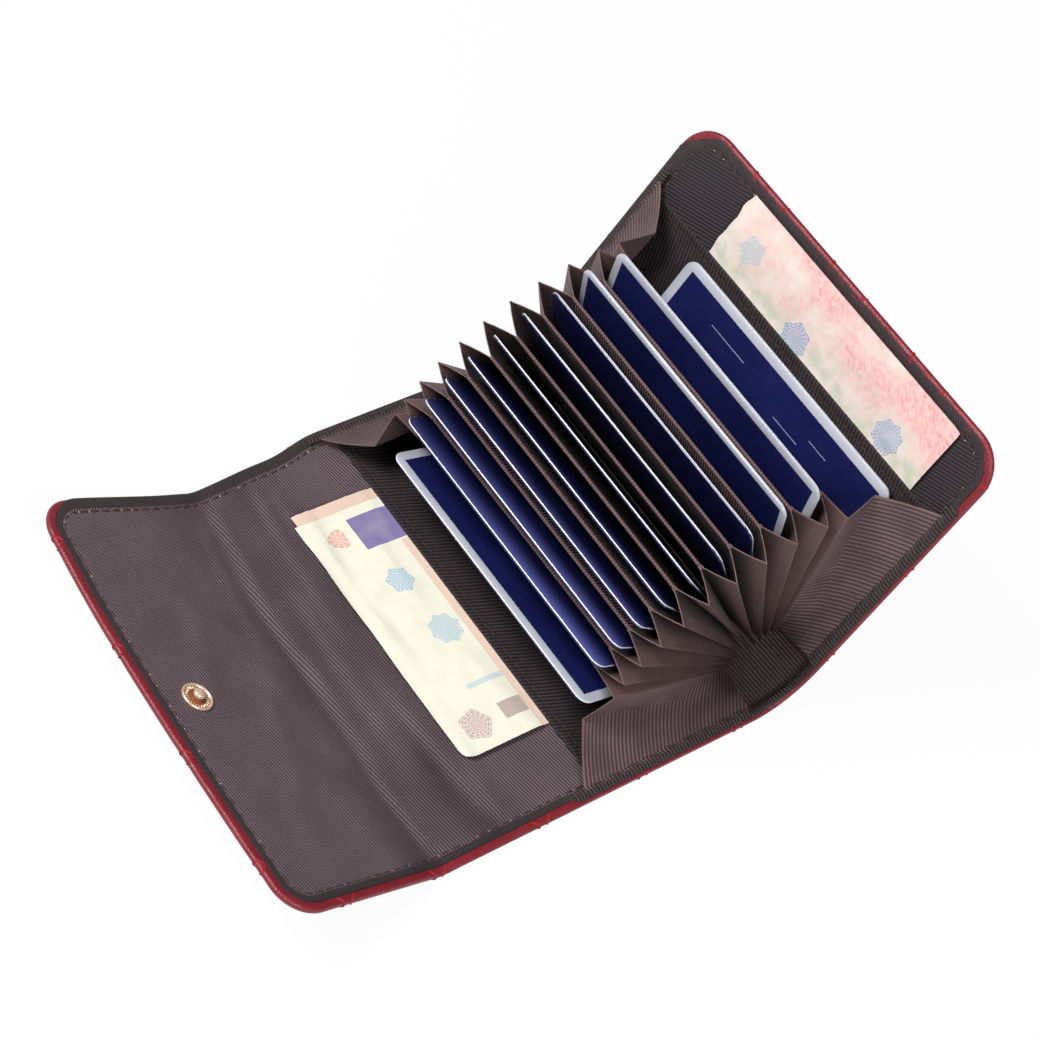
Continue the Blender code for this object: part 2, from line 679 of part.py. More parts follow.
def make_pockets():
    for number in range(DIVIDER_COUNT + 1):
        frame = FRAMES[f"pocket_{number}"]
        finish(f"gusset_{number}", gusset_mesh(number), frame, "ribbed_cloth")
        finish(f"card_{number}", card_mesh(number), frame, "card")
    for number in range(DIVIDER_COUNT):
        mesh = divider_mesh()
        mesh.transform(Matrix.Translation((0.0, 0.0, PITCH / 2)))
        finish(f"divider_{number}", mesh, FRAMES[f"divider_{number}"], "ribbed_cloth")


clear_scene()
WALLET = new_collection("accordion_card_wallet")
CUTTERS = new_collection("cutters")
FRAMES = make_frames()
make_back()
make_flap()
make_front()
make_spine()
make_pockets()
bpy.context.view_layer.update()
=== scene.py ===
"""Looks for the accordion card wallet: leather, cloth, cards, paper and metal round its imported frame.

Lengths are in millimetres until a mesh is made. A panel's own places are x across, r outwards from
the edge beside the spine, and h inwards from its outer face.
"""

import json
import math
import random

import bmesh
import bpy
from mathutils import Euler, Matrix, Vector, noise
from mathutils.geometry import delaunay_2d_cdt


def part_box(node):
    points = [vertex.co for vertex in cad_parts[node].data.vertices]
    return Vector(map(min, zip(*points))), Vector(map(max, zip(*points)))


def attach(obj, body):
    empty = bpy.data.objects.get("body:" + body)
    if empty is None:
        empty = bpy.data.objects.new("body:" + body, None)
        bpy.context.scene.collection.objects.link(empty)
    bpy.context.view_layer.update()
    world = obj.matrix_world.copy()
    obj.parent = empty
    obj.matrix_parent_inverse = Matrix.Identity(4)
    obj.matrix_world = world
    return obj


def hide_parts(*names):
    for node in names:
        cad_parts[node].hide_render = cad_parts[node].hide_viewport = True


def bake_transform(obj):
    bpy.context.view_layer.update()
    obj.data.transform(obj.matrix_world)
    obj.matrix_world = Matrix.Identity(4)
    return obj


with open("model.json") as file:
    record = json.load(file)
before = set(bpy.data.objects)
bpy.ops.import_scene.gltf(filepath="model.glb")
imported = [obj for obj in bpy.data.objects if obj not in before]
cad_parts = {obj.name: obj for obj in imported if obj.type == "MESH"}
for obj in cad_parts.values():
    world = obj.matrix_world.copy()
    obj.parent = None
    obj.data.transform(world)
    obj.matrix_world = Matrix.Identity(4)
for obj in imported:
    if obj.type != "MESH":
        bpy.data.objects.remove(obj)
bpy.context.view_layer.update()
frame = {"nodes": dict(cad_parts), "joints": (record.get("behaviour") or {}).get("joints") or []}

MM = 0.001
ACROSS = Vector((1.0, 0.0, 0.0))
UP = Vector((0.0, 0.0, 1.0))
JOINTS = {joint["name"]: joint for joint in frame["joints"]}
RANDOM = random.Random(7)


class Place:
    """A panel's own frame: x across, r outwards from its spine edge, h inwards from its outer face."""

    def __init__(self, origin, inner, turn=1):
        self.origin = origin
        self.inner = inner
        self.out = turn * ACROSS.cross(inner)

    def __call__(self, x, r, h):
        return self.origin + x * ACROSS + r * self.out + h * self.inner

    def local(self, point):
        offset = point - self.origin
        return Vector((offset.x, offset.dot(self.out), offset.dot(self.inner)))


def pivot(joint):
    """A point on a joint's axis."""
    return Vector(JOINTS[joint]["pos_m"]) / MM


def facing(node, towards):
    """The direction that a node's largest face looks in, on the side of towards."""
    largest = max(frame["nodes"][node].data.polygons, key=lambda face: face.area)
    normal = largest.normal.normalized()
    return normal if normal.dot(towards) > 0 else -normal


def extent(node, place):
    """Lowest and highest x, r and h of a node."""
    points = [place.local(vertex.co / MM) for vertex in frame["nodes"][node].data.vertices]
    return [Vector(pick(point[i] for point in points) for i in range(3)) for pick in (min, max)]


def smooth(t):
    """A soft step from 0 to 1."""
    t = min(max(t, 0.0), 1.0)
    return t * t * (3 - 2 * t)


def spaced(low, high, pitch):
    """Evenly spaced values from low to high, about a pitch apart."""
    count = max(1, round((high - low) / pitch))
    return [low + (high - low) * i / count for i in range(count + 1)]


def soft_noise(x, y, z=0.0):
    return noise.noise(Vector((x, y, z)))


# Sizes that the frame gives.
COVER_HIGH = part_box("back_cover")[1] / MM
HALF = COVER_HIGH.x
SPINE_Y = COVER_HIGH.y
LINING_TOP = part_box("back_lining")[1].z / MM
FOLD_2 = SPINE_Y - pivot("strip_fold").y
FOLD_1 = SPINE_Y - pivot("flap_fold").y
STRIP_CUT = (FOLD_1 + FOLD_2) / 2
DIVIDERS = sum(name.startswith("divider_") for name in frame["nodes"])
HINGES = [pivot(f"divider_{k}_fold") for k in range(DIVIDERS)] + [pivot("front_fold")]

BACK = Place(Vector((0.0, SPINE_Y, 0.0)), UP)
FLAP_NORMAL = facing("flap_lining", UP)
FLAP_OUT = ACROSS.cross(FLAP_NORMAL)
FLAP = Place(pivot("flap_fold") - LINING_TOP * FLAP_NORMAL - FOLD_1 * FLAP_OUT, FLAP_NORMAL)
FLAP_TIP = extent("flap_cover", FLAP)[1].y
FLAP_SLOPE = abs(FLAP_NORMAL.y / FLAP_NORMAL.z)

FRONT_OUT = Vector(JOINTS["front_note_slide"]["axis"])
FRONT_NORMAL = Vector((0.0, -FRONT_OUT.z, FRONT_OUT.y))
PANEL = extent("back_cover", BACK)[1].y
FRONT_GUESS = Place(HINGES[-1], FRONT_NORMAL, -1)
FRONT_FACE = extent("front_cover", FRONT_GUESS)[0]
FRONT = Place(FRONT_GUESS(0.0, FRONT_FACE.y, FRONT_FACE.z), FRONT_NORMAL, -1)
SEAM_X = extent("gusset_0", BACK)[1].x

# Sizes that the photograph gives, which the frame doesn't hold.
FLAP_CORNER = 10.0
FRONT_CORNER = 11.0
HEM = 2.2
QUILT = 33.0
QUILT_X = 15.0
QUILT_R = FLAP_TIP - 2.0
SEAM_IN = 4.8
SEAM_REACH = 57.5
STITCH = 2.7
STITCH_PITCH = 3.4
RIB = 0.95
BINDING = 0.9
OVERLOCK_PITCH = 1.05

# Small forms, chosen to look like it: the leather's bare back, dents, rises, overlaps and the like.
LEATHER = 1.2
QUILT_DEPTH = 0.38
GROOVE = 0.14
HEM_RISE = 0.12
HEM_LIFT = 0.62
HEM_END_LIFT = 0.2
FRONT_OVERLAP = 1.3
BEND_REACH = 3.0
OVERLOCK_TOP = 3.0
LEAF_SKIN = 0.2
RIB_RISE = 0.1
BINDING_TWIST = 0.04
PLEAT_SLANT = 8.0
PLEAT_STEP = 1.7
CARD_CORNER = 3.18
CARD_SOFTENING = 0.12
CARD_RULE = 0.13
NO_BORDER = 0.06
NOTE_FREE = 54.0
NOTE_TRAVEL = 24
NOTE_SHEET = 0.08
STUD_RIDGES = 26
BORE = 2.15

# How fine the meshes are.
ARC_STEPS = 12
LEATHER_PITCH = QUILT / 16
FINE_PITCH = 1.6
CLOTH_PITCH = 2.4
EDGE_PITCH = 2.0

# The slide of the shell's far side: places along r, each with its shift across and along the ground.
SLIDES = ((55.0, 0.0, 0.0), (FOLD_2, 2.6, 3.5), (FOLD_1, 3.6, 5.8), (FLAP_TIP, 0.1, 6.7))


def settle(x, r):
    """How the shell's far side has slid a little over the ground."""
    share = ((HALF - x) / (2 * HALF)) ** 2
    if r <= SLIDES[0][0]:
        return Vector()
    for (low, x0, y0), (high, x1, y1) in zip(SLIDES, SLIDES[1:]):
        if r <= high:
            t = smooth((r - low) / (high - low))
            return share * Vector((x0 + t * (x1 - x0), y0 + t * (y1 - y0), 0.0))
    return share * Vector((SLIDES[-1][1], SLIDES[-1][2], 0.0))


def shell_point(x, r, h):
    """A point of the back panel, strip and flap, which curls up past the last fold."""
    curl = smooth((r - FOLD_1 + 5) / 10)
    slid = settle(x, r)
    point = BACK(x, r, h).lerp(FLAP(x, r, h), curl) + slid
    point.z -= curl * slid.y * FLAP_SLOPE * smooth((x + 60) / 40)
    point.z = max(point.z, 0.0)
    return point


def spine_places(count):
    """Places along the bent spine's outer face: arc length, point and inward direction."""
    start, end = BACK(0, 0, 0), FRONT(0, 0, 0)
    bend = math.acos(-FRONT_NORMAL.z)
    handle = (end - start).length / 3 / math.cos(bend / 4)
    cage = [start, start - handle * BACK.out, end - handle * FRONT.out, end]
    found = []
    length = 0.0
    for i in range(count + 1):
        t = i / count
        s = 1 - t
        point = s**3 * cage[0] + 3 * s * s * t * cage[1] + 3 * s * t * t * cage[2] + t**3 * cage[3]
        slope = s * s * (cage[1] - cage[0]) + 2 * s * t * (cage[2] - cage[1]) + t * t * (cage[3] - cage[2])
        slope.normalize()
        if found:
            length += (point - found[-1][1]).length
        found.append((length, point, Vector((0.0, -slope.z, slope.y))))
    return found


SPINE = spine_places(240)
SPINE_LENGTH = SPINE[-1][0]


def spine_point(x, s, h):
    """A point of the spine, s along it from the back panel and h inwards."""
    low = min(int(max(s / SPINE_LENGTH, 0.0) * (len(SPINE) - 1)), len(SPINE) - 2)
    while low > 0 and SPINE[low][0] > s:
        low -= 1
    while low < len(SPINE) - 2 and SPINE[low + 1][0] < s:
        low += 1
    (s0, p0, n0), (s1, p1, n1) = SPINE[low], SPINE[low + 1]
    t = (s - s0) / (s1 - s0)
    return p0.lerp(p1, t) + x * ACROSS + h * n0.lerp(n1, t).normalized()


def grid_faces(width, height):
    """The faces of a sheet whose points lie in rows of a width."""
    return [[a * width + b, a * width + b + 1, (a + 1) * width + b + 1, (a + 1) * width + b]
            for a in range(height - 1) for b in range(width - 1)]


def grid_rim(width, height):
    """The outline of such a sheet, in order round it."""
    last = (height - 1) * width
    return (list(range(width)) + [a * width + width - 1 for a in range(1, height)]
            + [last + b for b in range(width - 2, -1, -1)] + [a * width for a in range(height - 2, 0, -1)])


def add_sheet(shape, rows, columns, at, finish=0):
    """A sheet over rows and columns, with each point given by a function of its x and r."""
    places = [(x, r) for r in rows for x in columns]
    points = [at(x, r) for x, r in places]
    shape.add(points, grid_faces(len(columns), len(rows)), finish, places)


def ring_faces(count, rings):
    """The faces between closed rings of as many points each."""
    faces = []
    for a in range(rings - 1):
        for b in range(count):
            c = (b + 1) % count
            faces.append([a * count + b, a * count + c, (a + 1) * count + c, (a + 1) * count + b])
    return faces


class Shape:
    """A mesh in the making: points in millimetres, each with a texture place and a value that marks rubbed
    spots, painted highlights and painted shade.
    """

    def __init__(self):
        self.points, self.faces, self.finishes = [], [], []
        self.places, self.wear_and_painted_light = [], []

    def add(self, points, faces, finish=0, places=None, wear_and_painted_light=None):
        """Adds points and the faces between them, with one finish or a list of one for each face."""
        base = len(self.points)
        self.points += points
        self.faces += [[base + i for i in face] for face in faces]
        self.finishes += finish if isinstance(finish, list) else [finish] * len(faces)
        self.places += places or [(point.x, point.y + point.z) for point in points]
        self.wear_and_painted_light += wear_and_painted_light or [0.0] * len(points)

    def piece(self, name, finishes, slot, sharp=40.0, thickness=0.0):
        """The finished object. A thickness turns an open sheet into a closed one."""
        mesh = bpy.data.meshes.new(name)
        mesh.from_pydata([point * MM for point in self.points], [], self.faces)
        mesh.update()
        for finish in finishes:
            mesh.materials.append(finish)
        mesh.polygons.foreach_set("material_index", self.finishes)
        mesh.uv_layers.new(name="cloth")
        for loop, place in zip(mesh.loops, mesh.uv_layers[0].data):
            place.uv = self.places[loop.vertex_index]
        # The per-point value for rubbed spots, painted highlights and painted shade.
        wear_and_painted_light = mesh.attributes.new("wear_and_painted_light", "FLOAT", "POINT")
        wear_and_painted_light.data.foreach_set("value", self.wear_and_painted_light)
        shape = bmesh.new()
        shape.from_mesh(mesh)
        if thickness:
            bmesh.ops.solidify(shape, geom=shape.faces[:], thickness=thickness * MM)
        bmesh.ops.recalc_face_normals(shape, faces=shape.faces[:])
        shape.to_mesh(mesh)
        shape.free()
        mesh.polygons.foreach_set("use_smooth", [True] * len(mesh.polygons))
        mesh.set_sharp_from_angle(angle=math.radians(sharp))
        obj = bpy.data.objects.new(name, mesh)
        bpy.context.scene.collection.objects.link(obj)
        return obj


def arc(x, y, across, up, turns):
    """Points round a centre, one for each turn in degrees."""
    angles = [math.radians(turn) for turn in turns]
    return [(x + across * math.cos(angle), y + up * math.sin(angle)) for angle in angles]


def tube(shape, path, radii, finish=0, sides=6, squash=1.0, to_world=None):
    """A closed thread along a path, with one radius for each of its points."""
    points = []
    for i, centre in enumerate(path):
        along = (path[min(i + 1, len(path) - 1)] - path[max(i - 1, 0)]).normalized()
        side = along.cross(UP)
        side = side.normalized() if side.length > 1e-6 else ACROSS.copy()
        up = side.cross(along).normalized()
        for j in range(sides):
            angle = 2 * math.pi * j / sides
            points.append(centre + radii[i] * (math.cos(angle) * side + squash * math.sin(angle) * up))
    faces = [list(range(sides))[::-1], list(range(len(points) - sides, len(points)))]
    faces += ring_faces(sides, len(path))
    places = [(point.x, point.y) for point in points]
    if to_world:
        points = [to_world(*point) for point in points]
    shape.add(points, faces, finish, places)


# A stitch's shares along it: of its length, its lift and its radius.
STITCH_SHARES = ((0, -1, 0.5), (0.14, 0, 0.95), (0.5, 0.3, 1.05), (0.86, 0, 0.95), (1, -1, 0.5))


def stitch(shape, start, end, radius, finish, to_world=None, lift=0.0):
    """One stitch, pulled down at both ends."""
    path = [start.lerp(end, t) + Vector((0, 0, lift * rise)) for t, rise, thick in STITCH_SHARES]
    tube(shape, path, [radius * thick for t, rise, thick in STITCH_SHARES], finish, 6, 0.8, to_world)


def edge_distance(x, r, high, corner):
    """How far a point of a panel lies inside its leather's edge. Without a corner, high is a cut."""
    dx = HALF - abs(x)
    if corner is None:
        return dx
    dr = high - r
    if dx < corner and dr < corner:
        return corner - math.hypot(corner - dx, corner - dr)
    return min(dx, dr)


def edge_path(gap, low, high, corner, pitch):
    """Places at one distance inside the edge, from low on the near side round to low on the far side."""
    side = HALF - gap
    if corner is None:
        rows = spaced(low, high, pitch)
        return [(side, r) for r in rows], [(-side, r) for r in rows]
    turn = corner - gap
    near = [(side, r) for r in spaced(low, high - corner, pitch)]
    for i in range(1, ARC_STEPS):
        angle = math.pi / 2 * i / ARC_STEPS
        near.append((HALF - corner + turn * math.cos(angle), high - corner + turn * math.sin(angle)))
    across = [(x, high - gap) for x in spaced(-(HALF - corner), HALF - corner, pitch)]
    middle = len(across) // 2
    return near + across[middle:][::-1], [(-x, r) for x, r in near] + across[:middle + 1]


def cut_ends(low, high, corner):
    """Where a panel is cut straight across: at both ends, or only at the first of a cornered one."""
    return (low,) if corner else (low, high)


def lattice(low, high, corner, inside, pitch):
    """Places further inside a panel, in diamonds in step with the quilting, and along its cut ends."""
    half = pitch / 2
    columns = range(-math.ceil(2 * HALF / half), math.ceil(2 * HALF / half) + 1)
    places = []
    for n in range(math.ceil((low - QUILT_R) / half), math.floor((high - QUILT_R) / half) + 1):
        r = QUILT_R + n * half
        if r < low + 0.3 * pitch or (corner is None and r > high - 0.3 * pitch):
            continue
        across = [QUILT_X + m * half for m in columns if (m + n) % 2 == 0]
        places += [(x, r) for x in across if edge_distance(x, r, high, corner) > inside]
    for r in cut_ends(low, high, corner):
        across = [QUILT_X + m * pitch for m in columns]
        places += [(x, r) for x in across if HALF - abs(x) > inside]
    return places


def panel(low, high, corner, gaps, pitch):
    """A flat panel's points, each with its distance from the edge, its triangles, and its cut ends."""
    lines = [line for gap in gaps for line in edge_path(gap, low, high, corner, EDGE_PITCH)]
    places = [place for line in lines for place in line]
    places += lattice(low, high, corner, gaps[-1] + 0.45 * pitch, pitch)
    kept = dict.fromkeys((round(x, 4), round(r, 4)) for x, r in places)
    found = delaunay_2d_cdt([Vector(place) for place in kept], [], [], 0, 1e-5)
    points = [(place.x, place.y, edge_distance(place.x, place.y, high, corner)) for place in found[0]]
    ends = []
    for r in cut_ends(low, high, corner):
        at = [i for i, point in enumerate(points) if abs(point[1] - r) < 1e-3]
        ends.append(sorted(at, key=lambda i: points[i][0]))
    return points, found[2], ends


def add_layer(shape, flat, to_world, top, bottom, first_gap=0.0, wear_and_painted_light=None, band=0):
    """A closed layer: a top and a bottom over the same flat points, joined where the edge is."""
    points, triangles, ends = flat
    inner = [i for i, (x, r, d) in enumerate(points) if d >= first_gap + 1e-3]
    lower = list(range(len(points)))
    for n, i in enumerate(inner):
        lower[i] = len(points) + n
    under = [points[i] for i in inner]
    made = [to_world(x, r, top(x, r, d)) for x, r, d in points]
    made += [to_world(x, r, bottom(x, r, d)) for x, r, d in under]
    wear_and_painted_tone = [wear_and_painted_light(x, r, d) if wear_and_painted_light else 0.0 for x, r, d in points + under]
    faces = [list(face) for face in triangles]
    finishes = [band if sum(points[i][2] for i in face) / 3 < SEAM_IN - 0.5 else 0 for face in faces]
    faces += [[lower[i] for i in face][::-1] for face in triangles]
    for end in ends:
        for i, j in zip(end, end[1:]):
            face = [i, j, lower[j], lower[i]]
            faces.append([v for n, v in enumerate(face) if v not in face[:n]])
    finishes += [0] * (len(faces) - len(finishes))
    shape.add(made, faces, finishes, [(x, r) for x, r, d in points + under], wear_and_painted_tone)


def quilt_dent(x, r):
    """The depth of the embossed diamond lines on the leather's outer face."""
    a = (x - QUILT_X + r - QUILT_R) / QUILT
    b = (x - QUILT_X - r + QUILT_R) / QUILT
    nearest = min(abs(a - round(a)), abs(b - round(b))) * QUILT / math.sqrt(2)
    return QUILT_DEPTH * math.exp(-((nearest / 1.5) ** 2))


RIM = (LINING_TOP + HEM_RISE) / 2


def leather_outer(x, r, d):
    """The outer face: rolled in at the rim and dented along the quilting."""
    roll = RIM - math.sqrt(max(RIM**2 - (RIM - min(d, RIM)) ** 2, 0.0))
    return roll + quilt_dent(x, r) * smooth(d / 1.2)


def leather_inner(x, r, d):
    """The inner face: the rolled rim, the turned-in hem, and the bare back below the lining."""
    roll = RIM + math.sqrt(max(RIM**2 - (RIM - min(d, RIM)) ** 2, 0.0))
    hem = roll + 0.13 * soft_noise(x / 2.4, r / 2.4) * smooth(d / 0.6)
    return hem + (LEATHER - hem) * smooth((d - HEM + 0.1) / 0.25)


def rim_wear_and_highlight(x, r, d):
    """How far the leather is rubbed pale at its rim only, a value that also paints a highlight along the
    rolled rim.
    """
    return max(0.0, 1.0 - d / 1.6) * (0.6 + 0.4 * soft_noise(x / 4, r / 4))


LEATHER_GAPS = (0.0, 0.12, 0.35, 0.7, 1.1, 1.6, 2.1, 2.35, 3.4)
LINING_GAPS = (HEM + 0.05, HEM + 0.12, HEM + 0.4, SEAM_IN - 0.5, SEAM_IN, SEAM_IN + 0.5, SEAM_IN + 1.6)


# The lining's soft creases: middle x and r, half length, width, height and slant.
CREASES = (
    (-44.0, FOLD_1 - 2.6, 20.0, 2.4, 0.80, 0.05), (-14.0, FOLD_1 - 1.2, 20.0, 2.2, 0.85, -0.05),
    (17.0, FOLD_1 - 2.4, 22.0, 2.6, 0.60, 0.03), (46.0, FOLD_1 - 1.0, 15.0, 2.0, 0.70, -0.06),
    (-30.0, FOLD_1 + 5.5, 24.0, 3.6, 0.45, 0.12), (8.0, FOLD_1 + 9.5, 20.0, 4.0, 0.40, -0.16),
    (-50.0, FOLD_2 + 6.5, 12.0, 2.6, 0.60, 0.10), (-40.0, FOLD_2 + 1.0, 16.0, 2.0, 0.35, -0.05),
    (4.0, FOLD_2 + 13.5, 28.0, 3.4, 0.50, 0.03), (30.0, FOLD_2 + 5.0, 22.0, 2.8, 0.65, -0.08),
    (49.0, FOLD_2 + 0.5, 12.0, 2.0, 0.45, 0.05), (-20.0, FOLD_2 + 8.0, 18.0, 2.4, 0.45, 0.02),
    (-14.0, FOLD_1 + 27.0, 16.0, 5.0, 0.35, 0.45), (16.0, FOLD_1 + 20.0, 16.0, 4.5, 0.40, 0.35),
    (40.0, FOLD_1 + 14.0, 15.0, 4.0, 0.30, -0.2),
)


def crease_height(x, r):
    """How far the lining's creases and waves stand up."""
    height = 0.16 * soft_noise(x / 30, r / 16, 3.0) + 0.07 * soft_noise(x / 9, r / 7, 5.0)
    for middle, at, half_length, width, size, slant in CREASES:
        along = x - middle
        across = r - at - slant * along
        if abs(across) < 3 * width:
            lean = 1 + 0.5 * math.tanh(across / width)
            height += 1.5 * size * math.exp(-((across / width) ** 2) * lean - (along / half_length) ** 4)
    return height


def crease_under(x, r, travel):
    """The highest crease met by a point of a note as it slides so far out."""
    slid = settle(x, r)
    return max(crease_height(x - slid.x, r + step + slid.y) for step in range(0, travel + 1, 3))


def crease_shade(x, r, d):
    """How much painted shade darkens the lining: beside the folds, between the creases."""
    near = math.exp(-(((r - FOLD_1 - 1) / 9) ** 2)) + math.exp(-(((r - FOLD_2 - 7) / 9) ** 2))
    low = 0.35 + 0.65 * smooth((0.45 - crease_height(x, r)) / 0.6)
    return min(near, 1.0) * low * (0.75 + 0.5 * soft_noise(x / 22, r / 14, 8.0))


def sewn_down(height, d):
    """A cloth's height with the dip along its seam, and its edge tucked under the hem."""
    height -= GROOVE * math.exp(-(((d - SEAM_IN) / 0.45) ** 2))
    return height if d > HEM + 0.3 else min(height, LINING_TOP - 0.25 + (d - HEM) * 0.8)


def lining_surface(x, r, d):
    """The lining's top: soft creases by the two folds, sunk a little along the seam."""
    return sewn_down(LINING_TOP + crease_height(x, r) * smooth((d - SEAM_IN) / 6), d)


def front_lining_surface(x, r, d):
    """The front lining's top, which only waves a little."""
    return sewn_down(LINING_TOP + 0.1 * soft_noise(x / 21, r / 13, 9.0) * smooth((d - SEAM_IN) / 6), d)


def over_hem(to_world, tip, near_to=-10.0, last=0.0):
    """The same places, with the cloth drawn over the hem: far side, near side up to near_to, and end."""
    def place(x, r, h):
        far = (1 - smooth((HALF + x - HEM) / 3.5)) * smooth((tip - r - 3) / 9)
        near = (1 - smooth((HALF - x - HEM) / 3.5)) * smooth((near_to + 4 - r) / 4)
        end = (1 - smooth((tip - r - HEM) / 3.5)) * last
        lift = max(HEM_LIFT * far, HEM_LIFT * near, HEM_END_LIFT * min(end, 1.0))
        return to_world(x - far * (HEM - 0.3) + near * 1.5, r + end, h + lift)
    return place


def lining_bottom(x, r, d):
    return LEATHER + 0.1


def seam_paths(low, high, corner):
    """The stitching line, as one polyline for each run."""
    near, far = edge_path(SEAM_IN, low, high, corner, 0.7)
    if corner is None:
        return [near, far]
    return [near + [point for point in reversed(far) if point not in near]]


def add_seam(shape, low, high, corner, to_world, surface, thread, pale):
    """A running stitch a few millimetres inside the leather's edge, with pale specks at its holes."""
    for path in seam_paths(low, high, corner):
        travelled, start = 0.0, None
        for (x0, r0), (x1, r1) in zip(path, path[1:]):
            phase = travelled % STITCH_PITCH
            travelled += math.hypot(x1 - x0, r1 - r0)
            after = travelled % STITCH_PITCH
            if start is None and after < phase:
                start = (x1, r1)
            elif start and after >= STITCH and phase < STITCH:
                ends = [Vector((x, r, surface(x, r, SEAM_IN) + 0.1)) for x, r in (start, (x1, r1))]
                stitch(shape, ends[0], ends[1], 0.17, thread, to_world, 0.16)
                if RANDOM.random() < 0.35:
                    way = (ends[1] - ends[0]).normalized() * 0.22
                    at = ends[1] + 1.6 * way
                    stitch(shape, at - way, at + way, 0.13, pale, to_world, 0.02)
                start = None


def quilt_lines(low, high, corner):
    """Both ends of each straight quilting line that crosses a panel."""
    lines = []
    span = int((2 * HALF + high - low) / QUILT) + 3
    for turn in (1, -1):
        for k in range(-3 * span, 3 * span):
            # Places where x - QUILT_X + turn * (r - QUILT_R) is k diamonds.
            points = []
            for r in spaced(low, high, 0.4):
                x = QUILT_X + k * QUILT - turn * (r - QUILT_R)
                if abs(x) < HALF and edge_distance(x, r, high, corner) > 2.4:
                    points.append((x, r))
            if len(points) > 3:
                lines.append((points[0], points[-1]))
    return lines


def add_quilt_stitches(shape, low, high, corner, to_world, finish):
    """Thread lying in the embossed lines of the outer face."""
    for (x0, r0), (x1, r1) in quilt_lines(low, high, corner):
        count = int(math.hypot(x1 - x0, r1 - r0) / STITCH_PITCH)
        for i in range(count):
            ends = []
            for t in ((i + 0.12) / count, (i + 0.88) / count):
                ends.append(Vector((x0 + t * (x1 - x0), r0 + t * (r1 - r0), QUILT_DEPTH - 0.06)))
            stitch(shape, ends[0], ends[1], 0.2, finish, to_world, -0.08)


def rim_crossings(low, high, corner):
    """Where a quilting line runs over the rim: its place on the edge and its direction inwards."""
    found = []
    near, far = edge_path(0.0, low, high, corner, 0.5)
    for path in (near, far):
        for (x0, r0), (x1, r1) in zip(path, path[1:]):
            for turn in (1, -1):
                a0 = (x0 - QUILT_X + turn * (r0 - QUILT_R)) / QUILT
                a1 = (x1 - QUILT_X + turn * (r1 - QUILT_R)) / QUILT
                if math.floor(a0) == math.floor(a1):
                    continue
                level = max(math.floor(a0), math.floor(a1))
                t = (level - a0) / (a1 - a0)
                x, r = x0 + t * (x1 - x0), r0 + t * (r1 - r0)
                way = Vector((1.0, -turn)).normalized()
                probe = edge_distance(x + 0.5 * way.x, r + 0.5 * way.y, high, corner)
                found.append((x, r, way if probe > 0 else -way))
    return found


def add_rim_stitches(shape, low, high, corner, to_world, finish):
    """A bright stitch over the rim wherever a quilting line reaches it."""
    proud = RIM - 0.02
    profile = [(2.1, 0.12)] + arc(RIM, RIM, -proud, proud, range(-90, 91, 20)) + [(1.9, 2 * RIM + 0.02)]
    for x, r, way in rim_crossings(low, high, corner):
        drop = edge_distance(x + way.x, r + way.y, high, corner)
        share = 1 / max(drop, 0.35)
        for side in (-0.26, 0.0, 0.26):
            path = []
            for i, (d, h) in enumerate(profile):
                across = Vector((-way.y, way.x)) * (side + 0.1 * soft_noise(x + side, i * 0.7))
                at = Vector((x, r)) + d * share * way + across
                path.append(Vector((at.x, at.y, h)))
            tube(shape, path, [0.05] + [0.1] * (len(path) - 2) + [0.05], finish, 6, 1.0, to_world)


# Materials.


def srgb(red, green, blue):
    """An 8-bit display colour as the linear one that nodes take."""
    def linear(value):
        value /= 255
        return value / 12.92 if value <= 0.04045 else ((value + 0.055) / 1.055) ** 2.4
    return (linear(red), linear(green), linear(blue), 1.0)


class Nodes:
    """A node tree in the making, whose inputs are sockets or plain values."""

    def __init__(self, tree):
        self.tree = tree

    def node(self, kind, inputs=None, **settings):
        node = self.tree.nodes.new(kind)
        for name, value in settings.items():
            setattr(node, name, value)
        for name, value in (inputs or {}).items():
            if isinstance(value, bpy.types.NodeSocket):
                self.tree.links.new(value, node.inputs[name])
            else:
                node.inputs[name].default_value = value
        return node

    def math(self, operation, first, second=0.0):
        return self.node("ShaderNodeMath", {0: first, 1: second}, operation=operation).outputs[0]

    def times(self, first, second):
        return self.math("MULTIPLY", first, second)

    def plus(self, first, second):
        return self.math("ADD", first, second)

    def sine(self, value):
        return self.math("SINE", value)

    def range(self, value, low, high, to_low=0.0, to_high=1.0):
        return self.node("ShaderNodeMapRange", {0: value, 1: low, 2: high, 3: to_low, 4: to_high}).outputs[0]

    def seen(self, second):
        """1 for what the camera sees itself, and the second value for other rays."""
        return self.math("MAXIMUM", self.node("ShaderNodeLightPath").outputs["Is Camera Ray"], second)


